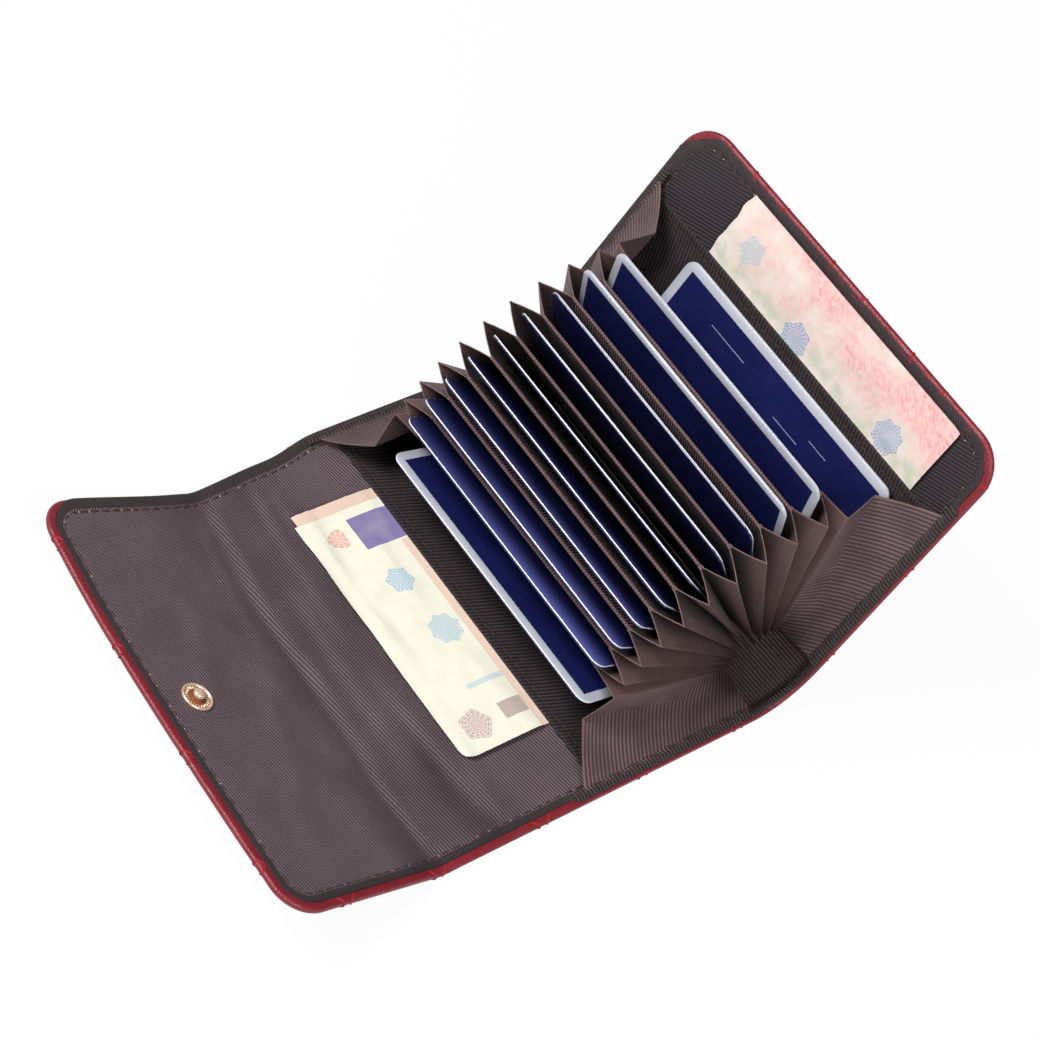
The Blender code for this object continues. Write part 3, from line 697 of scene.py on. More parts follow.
class Finish(Nodes):
    """A procedural material. Texture places are in millimetres."""

    def __init__(self, name, **constants):
        self.material = bpy.data.materials.new(name)
        self.material.use_nodes = True
        super().__init__(self.material.node_tree)
        self.shader = self.tree.nodes["Principled BSDF"]
        for socket, value in constants.items():
            self.shader.inputs[socket.replace("_", " ")].default_value = value
        self.place = self.node("ShaderNodeUVMap").outputs[0]
        split = self.node("ShaderNodeSeparateXYZ", {0: self.place})
        self.x, self.r = split.outputs[0], split.outputs[1]

    def mix(self, share, low, high):
        node = self.node("ShaderNodeMix", {"Factor": share}, data_type="RGBA")
        for name, value in (("A", low), ("B", high)):
            socket = next(s for s in node.inputs if s.name == name and s.type == "RGBA")
            if isinstance(value, bpy.types.NodeSocket):
                self.tree.links.new(value, socket)
            else:
                socket.default_value = value
        return next(s for s in node.outputs if s.type == "RGBA")

    def noise(self, size, detail=3.0, stretch=None):
        """Noise from 0 to 1 whose features are about size millimetres wide."""
        vector = self.place
        if stretch:
            scaled = self.node("ShaderNodeVectorMath", {0: vector, 1: (*stretch, 1.0)}, operation="MULTIPLY")
            vector = scaled.outputs[0]
        found = self.node("ShaderNodeTexNoise", {"Vector": vector, "Scale": 1 / size, "Detail": detail})
        return found.outputs[0]

    def cells(self, size):
        found = self.node("ShaderNodeTexVoronoi", {"Vector": self.place, "Scale": 1 / size})
        return found.outputs["Distance"]

    def stripes(self, pitch, x_share, r_share, wobble=0.0):
        """Stripes from 0 to 1, a pitch apart, crossing the given direction."""
        place = self.plus(self.times(self.x, x_share), self.times(self.r, r_share))
        if wobble:
            place = self.plus(place, self.times(self.noise(9.0), wobble))
        wave = self.sine(self.times(place, 2 * math.pi / pitch))
        return self.plus(self.times(wave, 0.5), 0.5)

    # Reads the per-point value for rubbed spots, painted highlights and painted shade.
    def wear_and_painted_light(self):
        return self.node("ShaderNodeAttribute", attribute_name="wear_and_painted_light").outputs["Fac"]

    def rough(self, size, low, high):
        """A roughness that varies over about size millimetres."""
        return self.range(self.noise(size), 0.3, 0.7, low, high)

    def make(self, colour, height, depth, roughness):
        """The material, with its relief's depth in millimetres."""
        self.tree.links.new(colour, self.shader.inputs["Base Color"])
        self.tree.links.new(roughness, self.shader.inputs["Roughness"])
        bump = self.node("ShaderNodeBump", {"Strength": 1.0, "Distance": depth * MM, "Height": height})
        self.tree.links.new(bump.outputs[0], self.shader.inputs["Normal"])
        return self.material


def leather_finish():
    """Red leather with a fine grain, paler at its rim: partly rubbed, partly a painted highlight."""
    f = Finish("red_leather", Specular_IOR_Level=0.5, Coat_Weight=0.06, Coat_Roughness=0.3)
    base = f.mix(f.noise(6.0), srgb(108, 20, 31), srgb(136, 33, 44))
    grain = f.cells(0.55)
    base = f.mix(f.range(grain, 0.0, 0.35, 0.35, 0.0), base, srgb(96, 14, 24))
    # Paler towards the rim: rubbed leather and a painted highlight along the rolled edge.
    base = f.mix(f.times(f.wear_and_painted_light(), 0.12), base, srgb(176, 64, 72))
    height = f.plus(grain, f.times(f.noise(0.25), 0.5))
    return f.make(base, height, 0.1, f.rough(3.0, 0.36, 0.5))


def twill_finish(name, light, dark, pitch, x_share, r_share, wear_and_painted_tone=(150, 118, 112)):
    """Lining cloth: fine diagonal ridges over a finer weave."""
    f = Finish(name, Specular_IOR_Level=0.3, Sheen_Weight=0.05, Sheen_Roughness=0.4)
    ridges = f.stripes(pitch, x_share, r_share, 0.25)
    weave = f.stripes(0.5, r_share, -x_share)
    threads = f.plus(f.times(ridges, 0.75), f.times(weave, 0.25))
    base = f.mix(f.range(threads, 0.15, 0.85), srgb(*dark), srgb(*light))
    base = f.mix(f.range(f.noise(14.0), 0.35, 0.65, 0.0, 0.25), base, srgb(*dark))
    # Mixes in the extra colour by the per-point value; for the lining and its band that colour is painted
    # shade by the creases, elsewhere the value is zero.
    base = f.mix(f.times(f.wear_and_painted_light(), 0.8), base, srgb(*wear_and_painted_tone))
    return f.make(base, threads, 0.12, f.rough(1.5, 0.5, 0.68))


def rib_finish(name, light, dark, pitch):
    """Ribbed cloth: cords along r with a thread across them."""
    f = Finish(name, Specular_IOR_Level=0.3, Sheen_Weight=0.03, Sheen_Roughness=0.4)
    cords = f.stripes(pitch, 1.0, 0.0, 0.1)
    cross = f.stripes(0.45, 0.0, 1.0)
    threads = f.plus(f.times(cords, 0.8), f.times(cross, 0.2))
    base = f.mix(f.range(threads, 0.1, 0.9), srgb(*dark), srgb(*light))
    # Broad random darker patches, partly painted shade of the cloth's soft folds.
    base = f.mix(f.range(f.noise(9.0), 0.35, 0.65, 0.0, 0.42), base, srgb(*dark))
    # Lighter along the pleats' tips and top edges, by the positive per-point value.
    base = f.mix(f.times(f.wear_and_painted_light(), 0.5), base, srgb(134, 105, 100))
    # Painted shade: a negative per-point value darkens the pleats' depths.
    base = f.mix(f.times(f.wear_and_painted_light(), -0.85), base, srgb(24, 17, 18))
    return f.make(base, threads, 0.1, f.rough(1.5, 0.5, 0.68))


def leaf_finish(top):
    """Ribbed cloth whose pale cords, brightened as painted light, reach the top edge and fade below it into
    painted shade.
    """
    f = Finish("leaf_cloth", Specular_IOR_Level=0.25, Sheen_Weight=0.03, Sheen_Roughness=0.4)
    cords = f.stripes(RIB, 1.0, 0.0)
    # Cords made pale as painted light on the dimly lit leaf face.
    light = f.mix(f.range(f.noise(11.0), 0.35, 0.65), srgb(186, 146, 148), srgb(156, 122, 126))
    base = f.mix(f.range(cords, 0.35, 0.85), srgb(13, 10, 12), light)
    # Painted shade: the leaf turns near black a few millimetres below its top edge.
    base = f.mix(f.range(f.r, top - 7.5, top - 0.8, 0.92, 0.0), base, srgb(16, 13, 15))
    threads = f.plus(cords, f.times(f.stripes(0.45, 0.0, 1.0), 0.2))
    return f.make(base, threads, 0.1, f.rough(1.5, 0.5, 0.68))


def thread_finish(name, colour):
    """Twisted sewing thread."""
    f = Finish(name, Specular_IOR_Level=0.4)
    twist = f.stripes(0.35, 0.8, 0.6)
    low = tuple(value * 0.55 for value in colour)
    base = f.mix(twist, srgb(*low), srgb(*colour))
    return f.make(base, twist, 0.03, f.rough(0.6, 0.4, 0.6))


def card_finish(name, colour, other, glow=0.0, top=0.0):
    """Glossy printed plastic. A glow value adds a painted reflection that lightens it towards its top edge,
    more on one side.
    """
    f = Finish(name, Specular_IOR_Level=0.5, Coat_Weight=0.5, Coat_Roughness=0.12)
    base = f.mix(f.range(f.noise(26.0), 0.3, 0.7), srgb(*colour), srgb(*other))
    if glow:
        # Painted reflection: lighter blue-violet near the card's top edge, fading deeper into the pocket.
        rise = f.range(f.r, top - 7.5, top, 0.0, glow)
        side = f.range(f.x, -44.0, 30.0, 0.35, 1.0)
        base = f.mix(f.times(f.times(rise, rise), side), base, srgb(104, 110, 190))
    scuff = f.range(f.noise(0.8, 4.0, (0.15, 1.0)), 0.6, 0.85, 0.0, 0.08)
    base = f.mix(scuff, base, srgb(150, 150, 170))
    return f.make(base, f.noise(0.3), 0.003, f.rough(5.0, 0.26, 0.36))


def rosette(f, base, x, r, radius, colour, petals=6):
    """A generic engraved rosette: wavy rings round a point."""
    dx, dr = f.math("SUBTRACT", f.x, x), f.math("SUBTRACT", f.r, r)
    far = f.math("SQRT", f.plus(f.times(dx, dx), f.times(dr, dr)))
    angle = f.math("ARCTAN2", dr, dx)
    wave = f.times(f.sine(f.times(angle, petals)), 0.4)
    rings = f.range(f.sine(f.times(f.plus(far, wave), 2 * math.pi / 0.8)), -0.6, 0.6, 0.3, 0.85)
    spokes = f.range(f.sine(f.times(angle, 3.0 * petals)), -0.8, 0.8, 0.55, 1.0)
    inside = f.range(f.plus(far, wave), radius - 0.3, radius, 1.0, 0.0)
    return f.mix(f.times(f.times(rings, spokes), inside), base, srgb(*colour))


def block(f, base, x_span, r_span, colour, share=0.9):
    """A plain printed rectangle with soft engraved lines."""
    inside = f.times(f.math("GREATER_THAN", f.x, x_span[0]), f.math("LESS_THAN", f.x, x_span[1]))
    inside = f.times(inside, f.math("GREATER_THAN", f.r, r_span[0]))
    inside = f.times(inside, f.math("LESS_THAN", f.r, r_span[1]))
    lines = f.range(f.stripes(0.7, 1.0, 0.4), 0.0, 1.0, share - 0.12, share)
    return f.mix(f.times(inside, lines), base, srgb(*colour))


def paper_ground(f, ground, tint):
    """A paper's colour with fine wavy lines of a tint."""
    wave = f.times(f.sine(f.times(f.r, 0.5)), 1.1)
    lines = f.range(f.sine(f.times(f.plus(f.x, wave), 6.3)), 0.5, 1.0)
    return f.mix(f.times(lines, f.range(f.noise(12.0), 0.4, 0.7, 0.0, 0.35)), srgb(*ground), srgb(*tint))


def finish_paper(f, base):
    """Printed paper's fibres and handling marks."""
    fibres = f.noise(0.5, 5.0)
    base = f.mix(f.range(f.noise(7.0), 0.45, 0.75, 0.0, 0.22), base, srgb(206, 196, 176))
    return f.make(base, fibres, 0.015, f.range(fibres, 0.3, 0.7, 0.6, 0.8))


def cream_paper_finish():
    """Cream paper with a violet corner block, coral and blue rosettes and a mauve foot."""
    f = Finish("cream_paper", Specular_IOR_Level=0.25)
    base = paper_ground(f, (240, 236, 218), (206, 204, 196))
    base = block(f, base, (-35.0, -24.5), (30.0, 65.0), (96, 78, 158))
    base = rosette(f, base, -30.5, 70.5, 3.2, (226, 126, 116), 3)
    base = rosette(f, base, -13.0, 62.5, 4.0, (96, 172, 216), 6)
    base = rosette(f, base, 4.5, 60.0, 4.6, (120, 184, 216), 8)
    base = block(f, base, (21.5, 23.0), (40.0, 66.0), (132, 190, 216), 0.5)
    base = rosette(f, base, 32.5, 70.5, 4.4, (168, 116, 128), 5)
    base = block(f, base, (29.5, 34.5), (40.0, 62.0), (150, 118, 118), 0.7)
    base = block(f, base, (-24.0, 44.0), (40.0, 54.4), (230, 200, 182), 0.95)
    return finish_paper(f, base)


def salmon_paper_finish():
    """Salmon paper with fine wavy lines, for the cream note's lower layer."""
    f = Finish("salmon_paper", Specular_IOR_Level=0.25)
    return finish_paper(f, paper_ground(f, (230, 202, 184), (204, 150, 136)))


def rose_paper_finish():
    """Cream paper clouded with coral, with pale green near the pocket and blue rosettes."""
    f = Finish("rose_paper", Specular_IOR_Level=0.25)
    base = paper_ground(f, (234, 220, 210), (212, 172, 170))
    low = f.times(f.range(f.r, 66.0, 58.0), f.range(f.noise(5.0, 4.0), 0.42, 0.6))
    base = f.mix(f.times(low, 0.5), base, srgb(176, 196, 168))
    cloud = f.times(f.range(f.noise(15.0, 4.0), 0.36, 0.58), f.range(f.r, 56.0, 66.0))
    cloud = f.times(cloud, f.range(f.x, -36.0, -24.0))
    fine = f.range(f.noise(1.8, 7.0), 0.35, 0.62, 0.45, 1.0)
    base = f.mix(f.times(f.times(cloud, fine), 0.72), base, srgb(222, 116, 126))
    strands = f.range(f.stripes(1.1, 0.5, 0.8, 9.0), 0.3, 0.8)
    base = f.mix(f.times(f.times(cloud, strands), 0.45), base, srgb(246, 206, 200))
    base = rosette(f, base, -2.0, 56.0, 4.6, (84, 140, 200), 6)
    base = rosette(f, base, 35.0, 58.0, 4.6, (96, 150, 204), 8)
    base = rosette(f, base, -27.0, 63.0, 4.0, (150, 190, 206), 5)
    return finish_paper(f, base)


def metal_finish(name, low, high):
    """Softly brushed plated metal."""
    f = Finish(name, Metallic=0.5)
    base = f.mix(f.noise(1.3), srgb(*low), srgb(*high))
    brushed = f.noise(0.22, 3.0, (1.0, 0.3))
    return f.make(base, brushed, 0.008, f.range(brushed, 0.3, 0.7, 0.22, 0.34))


LEATHER_RED = leather_finish()
# The lining's extra colour is the painted shade beside its folds and creases.
LINING = twill_finish("lining_twill", (124, 107, 113), (53, 42, 47), 0.85, 0.19, 0.98, (42, 34, 38))
FRONT_LINING = twill_finish("front_twill", (64, 54, 59), (27, 22, 25), 0.95, -0.3, 0.95)
# The band's extra colour is the same painted shade, which it takes beside the folds.
EDGE_CLOTH = twill_finish("edge_band", (66, 54, 56), (42, 34, 36), 0.6, 0.7, 0.7, (44, 36, 39))
RIBBED = twill_finish("ribbed_cloth", (64, 53, 55), (22, 18, 20), 1.05, 0.94, 0.34)
SPINE_CLOTH = twill_finish("spine_cloth", (98, 82, 85), (38, 30, 33), 1.08, 0.05, 1.0)
GUSSET = rib_finish("gusset_cloth", (122, 95, 94), (92, 70, 70), 0.85)
WIDE_GUSSET = rib_finish("wide_pleat_cloth", (124, 100, 102), (60, 45, 48), 1.25)
BINDING_CLOTH = rib_finish("binding_cloth", (128, 101, 101), (92, 70, 71), RIB)
BROWN_THREAD = thread_finish("brown_thread", (88, 58, 52))
PALE_THREAD = thread_finish("pale_thread", (206, 190, 180))
DARK_THREAD = thread_finish("dark_thread", (64, 48, 49))
RED_THREAD = thread_finish("red_thread", (214, 40, 54))
CARD_WHITE = card_finish("card_border", (190, 193, 203), (176, 180, 192))
CARD_EDGE = card_finish("card_edge", (240, 240, 244), (228, 228, 236))
CARD_NAVY = card_finish("card_navy", (20, 24, 70), (28, 34, 90))
# Cards whose faces carry a painted reflection near their top edges.
CARD_PAINTED_REFLECTION = card_finish("card_navy_painted_reflection", (14, 16, 48), (22, 26, 72), 1.0, 55.0)
CARD_PRINT = card_finish("card_print", (150, 158, 190), (128, 136, 172))
CREAM_PAPER = cream_paper_finish()
SALMON_PAPER = salmon_paper_finish()
ROSE_PAPER = rose_paper_finish()
METAL = metal_finish("rose_gold", (236, 190, 156), (252, 226, 200))
# Darker rose gold as painted shade in the stud's dish and the socket's bore.
METAL_PAINTED_SHADE = metal_finish("rose_gold_painted_shade", (150, 92, 66), (186, 128, 96))


# Pieces.


def build_cover(name, place, low, high, corner):
    """A length's embossed leather, with the quilting's thread and the stitches over its rim."""
    leather = Shape()
    add_layer(leather, panel(low, high, corner, LEATHER_GAPS, LEATHER_PITCH), place,
              leather_inner, leather_outer, wear_and_painted_light=rim_wear_and_highlight)
    add_quilt_stitches(leather, low, high, corner, place, 1)
    add_rim_stitches(leather, low, high, corner, place, 1)
    return leather.piece(f"{name}_leather", [LEATHER_RED, RED_THREAD], "leather")


def build_inside(name, place, low, high, corner, surface, pitch, finish, wear_and_painted_light=None):
    """A length's lining cloth, with its dark band and its seam."""
    cloth = Shape()
    add_layer(cloth, panel(low, high, corner, LINING_GAPS, pitch), place,
              surface, lining_bottom, first_gap=LINING_GAPS[0], wear_and_painted_light=wear_and_painted_light, band=3)
    add_seam(cloth, low, high, corner, place, surface, 1, 2)
    return cloth.piece(f"{name}_inside", [finish, BROWN_THREAD, PALE_THREAD, EDGE_CLOTH], "lining")


def build_shell():
    """The leather and lining of back, strip and flap, in two lengths parted between the folds."""
    drawn = over_hem(shell_point, FLAP_TIP, SEAM_REACH)
    for name, low, high, corner, first, second, fold in (
        ("back", 0.0, STRIP_CUT, None, "back", "strip", FOLD_2),
        ("flap", STRIP_CUT, FLAP_TIP, FLAP_CORNER, "strip", "flap", FOLD_1),
    ):
        cover = build_cover(name, shell_point, low, high, corner)
        lining = build_inside(name, drawn, low, high, corner, lining_surface, FINE_PITCH, LINING,
                              crease_shade)
        start, end = BACK(0, fold - BEND_REACH, 0) * MM, BACK(0, fold + BEND_REACH, 0) * MM
        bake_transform(cover)
        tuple(start)
        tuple(end)
        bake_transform(lining)
        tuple(start)
        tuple(end)
        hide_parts(f"{name}_cover", "strip_cover")
        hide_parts(f"{name}_lining", "strip_lining")


def build_front():
    """The front panel's leather and lining, which lie flat."""
    drawn = over_hem(FRONT, PANEL, SEAM_REACH, FRONT_OVERLAP)
    cover = build_cover("front", FRONT, 0.0, PANEL, FRONT_CORNER)
    lining = build_inside("front", drawn, 0.0, PANEL, FRONT_CORNER, front_lining_surface, CLOTH_PITCH,
                          FRONT_LINING)
    for obj, node in ((cover, "front_cover"), (lining, "front_lining")):
        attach(obj, "front")
        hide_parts(node)


def leaf_normals():
    """The direction that pockets stack in at each leaf, from the back panel to the front one."""
    found = [UP]
    for k in range(DIVIDERS):
        found.append(facing(f"divider_{k}", found[-1]))
    return found + [-FRONT_NORMAL]


NORMALS = leaf_normals()
LEAVES = [Place((a + b) / 2, normal) for a, b, normal in zip(HINGES, HINGES[1:], NORMALS[1:])]


def overlock_stitch(shape, place, side, r, surface, finish=0):
    """One thick slanted thread over the hem, from the seam outwards."""
    start = Vector((side * (SEAM_X - 0.5), r + 0.35, surface + 0.1))
    end = Vector((side * (HALF - 0.75), r - 0.25, LINING_TOP + 0.2))
    middle = start.lerp(end, 0.5) + Vector((0, 0, 0.45 + 0.15 * soft_noise(r, side)))
    tube(shape, [start, middle, end], [0.34, 0.56, 0.34], finish, 6, 0.9, place)


def spine_bounds():
    """Where the spine is parted: behind the middle of each leaf."""
    bounds = [0.0]
    for leaf in LEAVES:
        behind = [at for at in SPINE if leaf.local(at[1]).y <= 0]
        bounds.append(min(behind, key=lambda at: abs(leaf.local(at[1]).z))[0])
    return bounds + [SPINE_LENGTH]


def build_spine():
    """The rounded spine, in lengths that each lie behind one pocket."""
    bounds = spine_bounds()

    def place(x, s, h):
        return spine_point(x, -s, h)

    for k, (low, high) in enumerate(zip(bounds, bounds[1:])):
        leather, cloth = Shape(), Shape()
        add_layer(leather, panel(-high, -low, None, LEATHER_GAPS, LEATHER_PITCH), place,
                  leather_inner, leather_outer, wear_and_painted_light=rim_wear_and_highlight)
        add_layer(cloth, panel(-high, -low, None, LINING_GAPS, CLOTH_PITCH), over_hem(place, PANEL, PANEL),
                  lambda x, r, d: LINING_TOP - 0.25 * smooth((HEM + 0.5 - d) / 0.5), lining_bottom,
                  first_gap=LINING_GAPS[0])
        for n in range(math.ceil(low / OVERLOCK_PITCH), math.ceil(high / OVERLOCK_PITCH)):
            for side in (1, -1):
                overlock_stitch(cloth, place, side, -n * OVERLOCK_PITCH, LINING_TOP + 0.25, 1)
        inset = 0.15 * (high - low)
        start = spine_point(0, low + inset, 0) * MM
        end = spine_point(0, high - inset, 0) * MM
        for shape, name, finish, slot, node in (
            (leather, "spine_leather", [LEATHER_RED], "leather", "spine_cover"),
            (cloth, "spine_inside", [SPINE_CLOTH, DARK_THREAD], "ribbed_cloth", "spine_lining"),
        ):
            obj = shape.piece(f"{name}_{k}", finish, slot)
            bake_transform(obj)
            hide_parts(node)


WALL_GAP = 0.55
LEAF_TOP = extent("divider_0", LEAVES[0])[1].y
LEAF_HALF = extent("divider_0", LEAVES[0])[1].x
LEAF = leaf_finish(LEAF_TOP)
GUSSET_TIP = extent("gusset_5", LEAVES[5])[1].x
BEND_X = GUSSET_TIP - 2.0


def pocket_walls(k):
    """The two faces that a pocket's pleats are sewn between."""
    low = Place(HINGES[k] - WALL_GAP * NORMALS[k], NORMALS[k])
    high = Place(HINGES[k] + WALL_GAP * NORMALS[k + 1], NORMALS[k + 1])
    return low, high


def gusset_row(k, v):
    """A pleat's places across, from one wall to the other, at a distance v from the hinge."""
    side = LEAF_HALF - 0.9
    corner = LEAF_HALF + 0.2
    slack = 0.02 * smooth(v / 12)
    if 0 < k < DIVIDERS:
        half = [(side, 0.0), (corner, 0.0), (43.2, 0.163 - slack), (46.2, 0.337 - slack), (48.2, 0.452),
                (GUSSET_TIP - 0.15, 0.485)]
        places = [(x, v, f) for x, f in half] + [(GUSSET_TIP, v, 0.5)]
        return places + [(x, v, 1 - f) for x, f in reversed(half)]
    seam_v = v * SEAM_REACH / LEAF_TOP
    along = (v - 1) / (LEAF_TOP - 1)
    share = smooth(along) * 0.5 + 0.5 * along
    straight = (GUSSET_TIP + SEAM_X) / 2
    middle = straight + share * (BEND_X - straight)
    fold = 0.93
    places = [(side, v, 1.0), (corner, v, 1.0), (44.8, v, 0.975), (GUSSET_TIP - 0.5, v, fold + 0.015)]
    stops = [(GUSSET_TIP, v, fold - 0.01), (middle, (v + seam_v) / 2, fold / 2), (SEAM_X, seam_v, 0.0)]
    for (x0, r0, f0), (x1, r1, f1), sag in zip(stops, stops[1:], (0.02, 0.035)):
        for n in range(6):
            t = n / 6
            bow = sag * math.sin(math.pi * t) * smooth(v / 20)
            places.append((x0 + t * (x1 - x0), r0 + t * (r1 - r0), f0 + t * (f1 - f0) - bow))
    places += [(SEAM_X, seam_v, 0.0), (SEAM_X + 1.0, seam_v, 0.0)]
    return places if k == 0 else [(x, r, 1 - f) for x, r, f in places]


def pleat_lightening_and_shade(v, x):
    """How far a pleat's cloth is lightened at its rim and tip or, below zero, darkened with painted shade in
    its depth.
    """
    light = 0.7 * smooth(v / 25) * max(0.0, 1 - abs(x - GUSSET_TIP) / 0.45)
    if v > LEAF_TOP - 0.5:
        light = 1.0
    # Painted shade where the pleat meets the leaves and near the hinge.
    dark = max(0.8 * smooth((45.8 - x) / 3.5), 0.75 * (1 - smooth(v / 16)) * smooth((58 - x) / 4))
    return light if light > 0.05 else -dark


def build_gusset(k):
    """A pocket's pleated sides and the cloth across its foot."""
    low, high = pocket_walls(k)
    top = LEAF_TOP
    shape = Shape()
    foot = 2.4 if k == DIVIDERS else 1.0
    rows = [foot, 4.0, 7.0, 10.0, 15.0, 20.0, 26.0, 32.0, 38.0, 44.0, 47.5, top - 0.6, top - 0.45, top]
    for side in (1, -1):
        points, places, wear_and_painted_light = [], [], []
        for v in rows:
            for n, (x, r, f) in enumerate(gusset_row(k, v)):
                points.append(low(side * x, r, 0).lerp(high(side * x, r, 0), f))
                loose = f if k else 1 - f
                places.append((r if 0 < k < DIVIDERS else r - PLEAT_SLANT * loose, n * PLEAT_STEP))
                wear_and_painted_light.append(pleat_lightening_and_shade(v, x))
        width = len(points) // len(rows)
        faces = grid_faces(width, len(rows))
        finishes = [int(k in (0, DIVIDERS) and n % (width - 1) > 3) for n in range(len(faces))]
        shape.add(points, faces, finishes, places, wear_and_painted_light)
    xs = spaced(-LEAF_HALF - 3, LEAF_HALF + 3, 4.0)
    points = [low(x, 1.1, 0).lerp(high(x, 1.1, 0), f) for f in (0, 0.5, 1) for x in xs]
    shape.add(points, grid_faces(len(xs), 3))
    obj = shape.piece(f"pleats_{k}", [GUSSET, WIDE_GUSSET], "ribbed_cloth", sharp=32, thickness=0.2)
    low(0, top, 0) * MM
    high(0, top, 0) * MM
    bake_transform(obj)
    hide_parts(f"gusset_{k}")


def build_leaf(k):
    """A cloth leaf with raised ribs and a bound top edge."""
    place = LEAVES[k]
    foot, top = (corner.y for corner in extent(f"divider_{k}", place))
    columns = spaced(-LEAF_HALF, LEAF_HALF, RIB / 4)
    rows = [foot, 12.0, 24.0, 34.0, 41.0, 45.0, top - BINDING - 0.6, top - BINDING - 0.1]

    def skin(x, r, side):
        rib = RIB_RISE * math.sin(2 * math.pi * x / RIB) * smooth((r - foot) / 4)
        return place(x, r, side * (LEAF_SKIN + rib))

    shape = Shape()
    for side in (1, -1):
        add_sheet(shape, rows, columns, lambda x, r: skin(x, r, side))
    bound = [(top - BINDING - 0.2, 0.26), (top - BINDING, 0.4), (top - BINDING / 2, 0.46), (top - 0.15, 0.34)]
    bound += [(top, 0.0)] + [(r, -h) for r, h in reversed(bound)]
    points, places = [], []
    for n, (r, h) in enumerate(bound):
        for x in columns:
            twist = 1 + BINDING_TWIST * math.sin(2 * math.pi * x / RIB)
            points.append(place(x, r, h * twist))
            places.append((x, r + n))
    shape.add(points, grid_faces(len(columns), len(bound)), 1, places)
    obj = shape.piece(f"leaf_{k}", [LEAF, BINDING_CLOTH], "ribbed_cloth", sharp=60)
    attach(obj, f"divider_{k}")
    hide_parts(f"divider_{k}")


# The pale borders' widths, on the cards that show one.
CARD_BORDERS = {0: 2.7, 8: 2.0, 9: 2.4, 10: 2.7}


def rounded(half_x, low, high, corner, steps=8):
    """A rounded rectangle's places, in order round it."""
    found = []
    for sx, at, first in ((1, high, 0), (-1, high, 1), (-1, low, 2), (1, low, 3)):
        for i in range(steps + 1):
            angle = math.pi / 2 * (first + i / steps)
            centre_r = at - corner if at == high else at + corner
            x = sx * (half_x - corner) + corner * math.cos(angle)
            found.append((x, centre_r + corner * math.sin(angle)))
    return found


# A card's finishes, in order.
BORDER, FACE, PRINT, PALE_EDGE, DARK_EDGE = range(5)

# The far card's short pale rules: distance below the card's top, and ends across.
RULES = ((8.5, -26, -12), (8.5, 16, 23), (12.0, 4, 14))


def add_rules(shape, place, middle, top, face):
    """Plain printed rules, a hair proud of a card's face."""
    sides = [[0, 1, 2, 3], [7, 6, 5, 4], [0, 1, 5, 4], [1, 2, 6, 5], [2, 3, 7, 6], [3, 0, 4, 7]]
    for drop, a, b in RULES:
        low, high = top - drop - CARD_RULE, top - drop + CARD_RULE
        corners = ((a, low), (b, low), (b, high), (a, high))
        points = [place(middle + x, r, h) for h in (face - 0.012, face + 0.02) for x, r in corners]
        shape.add(points, sides, PRINT)


def build_card(k):
    """A plastic card with softened edges, a pale border and a plain dark face."""
    place = Place(HINGES[k], facing(f"card_{k}", NORMALS[k] + NORMALS[k + 1]))
    low, high = extent(f"card_{k}", place)
    middle = (low.x + high.x) / 2
    half_x, half_h = (high.x - low.x) / 2, (high.z - low.z) / 2
    border, soft = CARD_BORDERS.get(k, NO_BORDER), CARD_SOFTENING
    shape = Shape()

    def ring(inset, corner, h):
        """Adds the places of an outline inside the card's edge, and says where they start."""
        found = rounded(half_x - inset, low.y + inset, high.y - inset, corner)
        shape.add([place(middle + x, r, h) for x, r in found], [], 0, found)
        return len(shape.points) - len(found)

    levels = [(soft, -half_h), (0.0, soft - half_h), (0.0, half_h - 0.3), (0.0, half_h - soft)]
    levels.append((soft, half_h))
    starts = [ring(inset, CARD_CORNER - inset, h) for inset, h in levels]
    count = starts[1]
    shape.faces = ring_faces(count, len(levels))
    shape.finishes = [DARK_EDGE if k < 8 else BORDER] * (2 * count) + [PALE_EDGE] * (2 * count)
    for base, h in ((starts[0], -half_h), (starts[-1], half_h)):
        start = ring(border, 0.0 if border > 1 else CARD_CORNER - border, h)
        for b in range(count):
            c = (b + 1) % count
            shape.faces.append([base + b, base + c, start + c, start + b])
        shape.faces.append([start + b for b in range(count)])
        shape.finishes += [BORDER] * count + [FACE]
    if k == DIVIDERS:
        add_rules(shape, place, middle, high.y, -half_h)
    # Cards 1 to 5 get the face with the painted reflection.
    face = CARD_PAINTED_REFLECTION if 0 < k < 6 else CARD_NAVY
    finishes = [CARD_WHITE, face, CARD_PRINT, CARD_EDGE, CARD_NAVY]
    obj = shape.piece(f"plastic_card_{k}", finishes, "card", sharp=50)
    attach(obj, f"card_{k}")
    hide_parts(f"card_{k}")


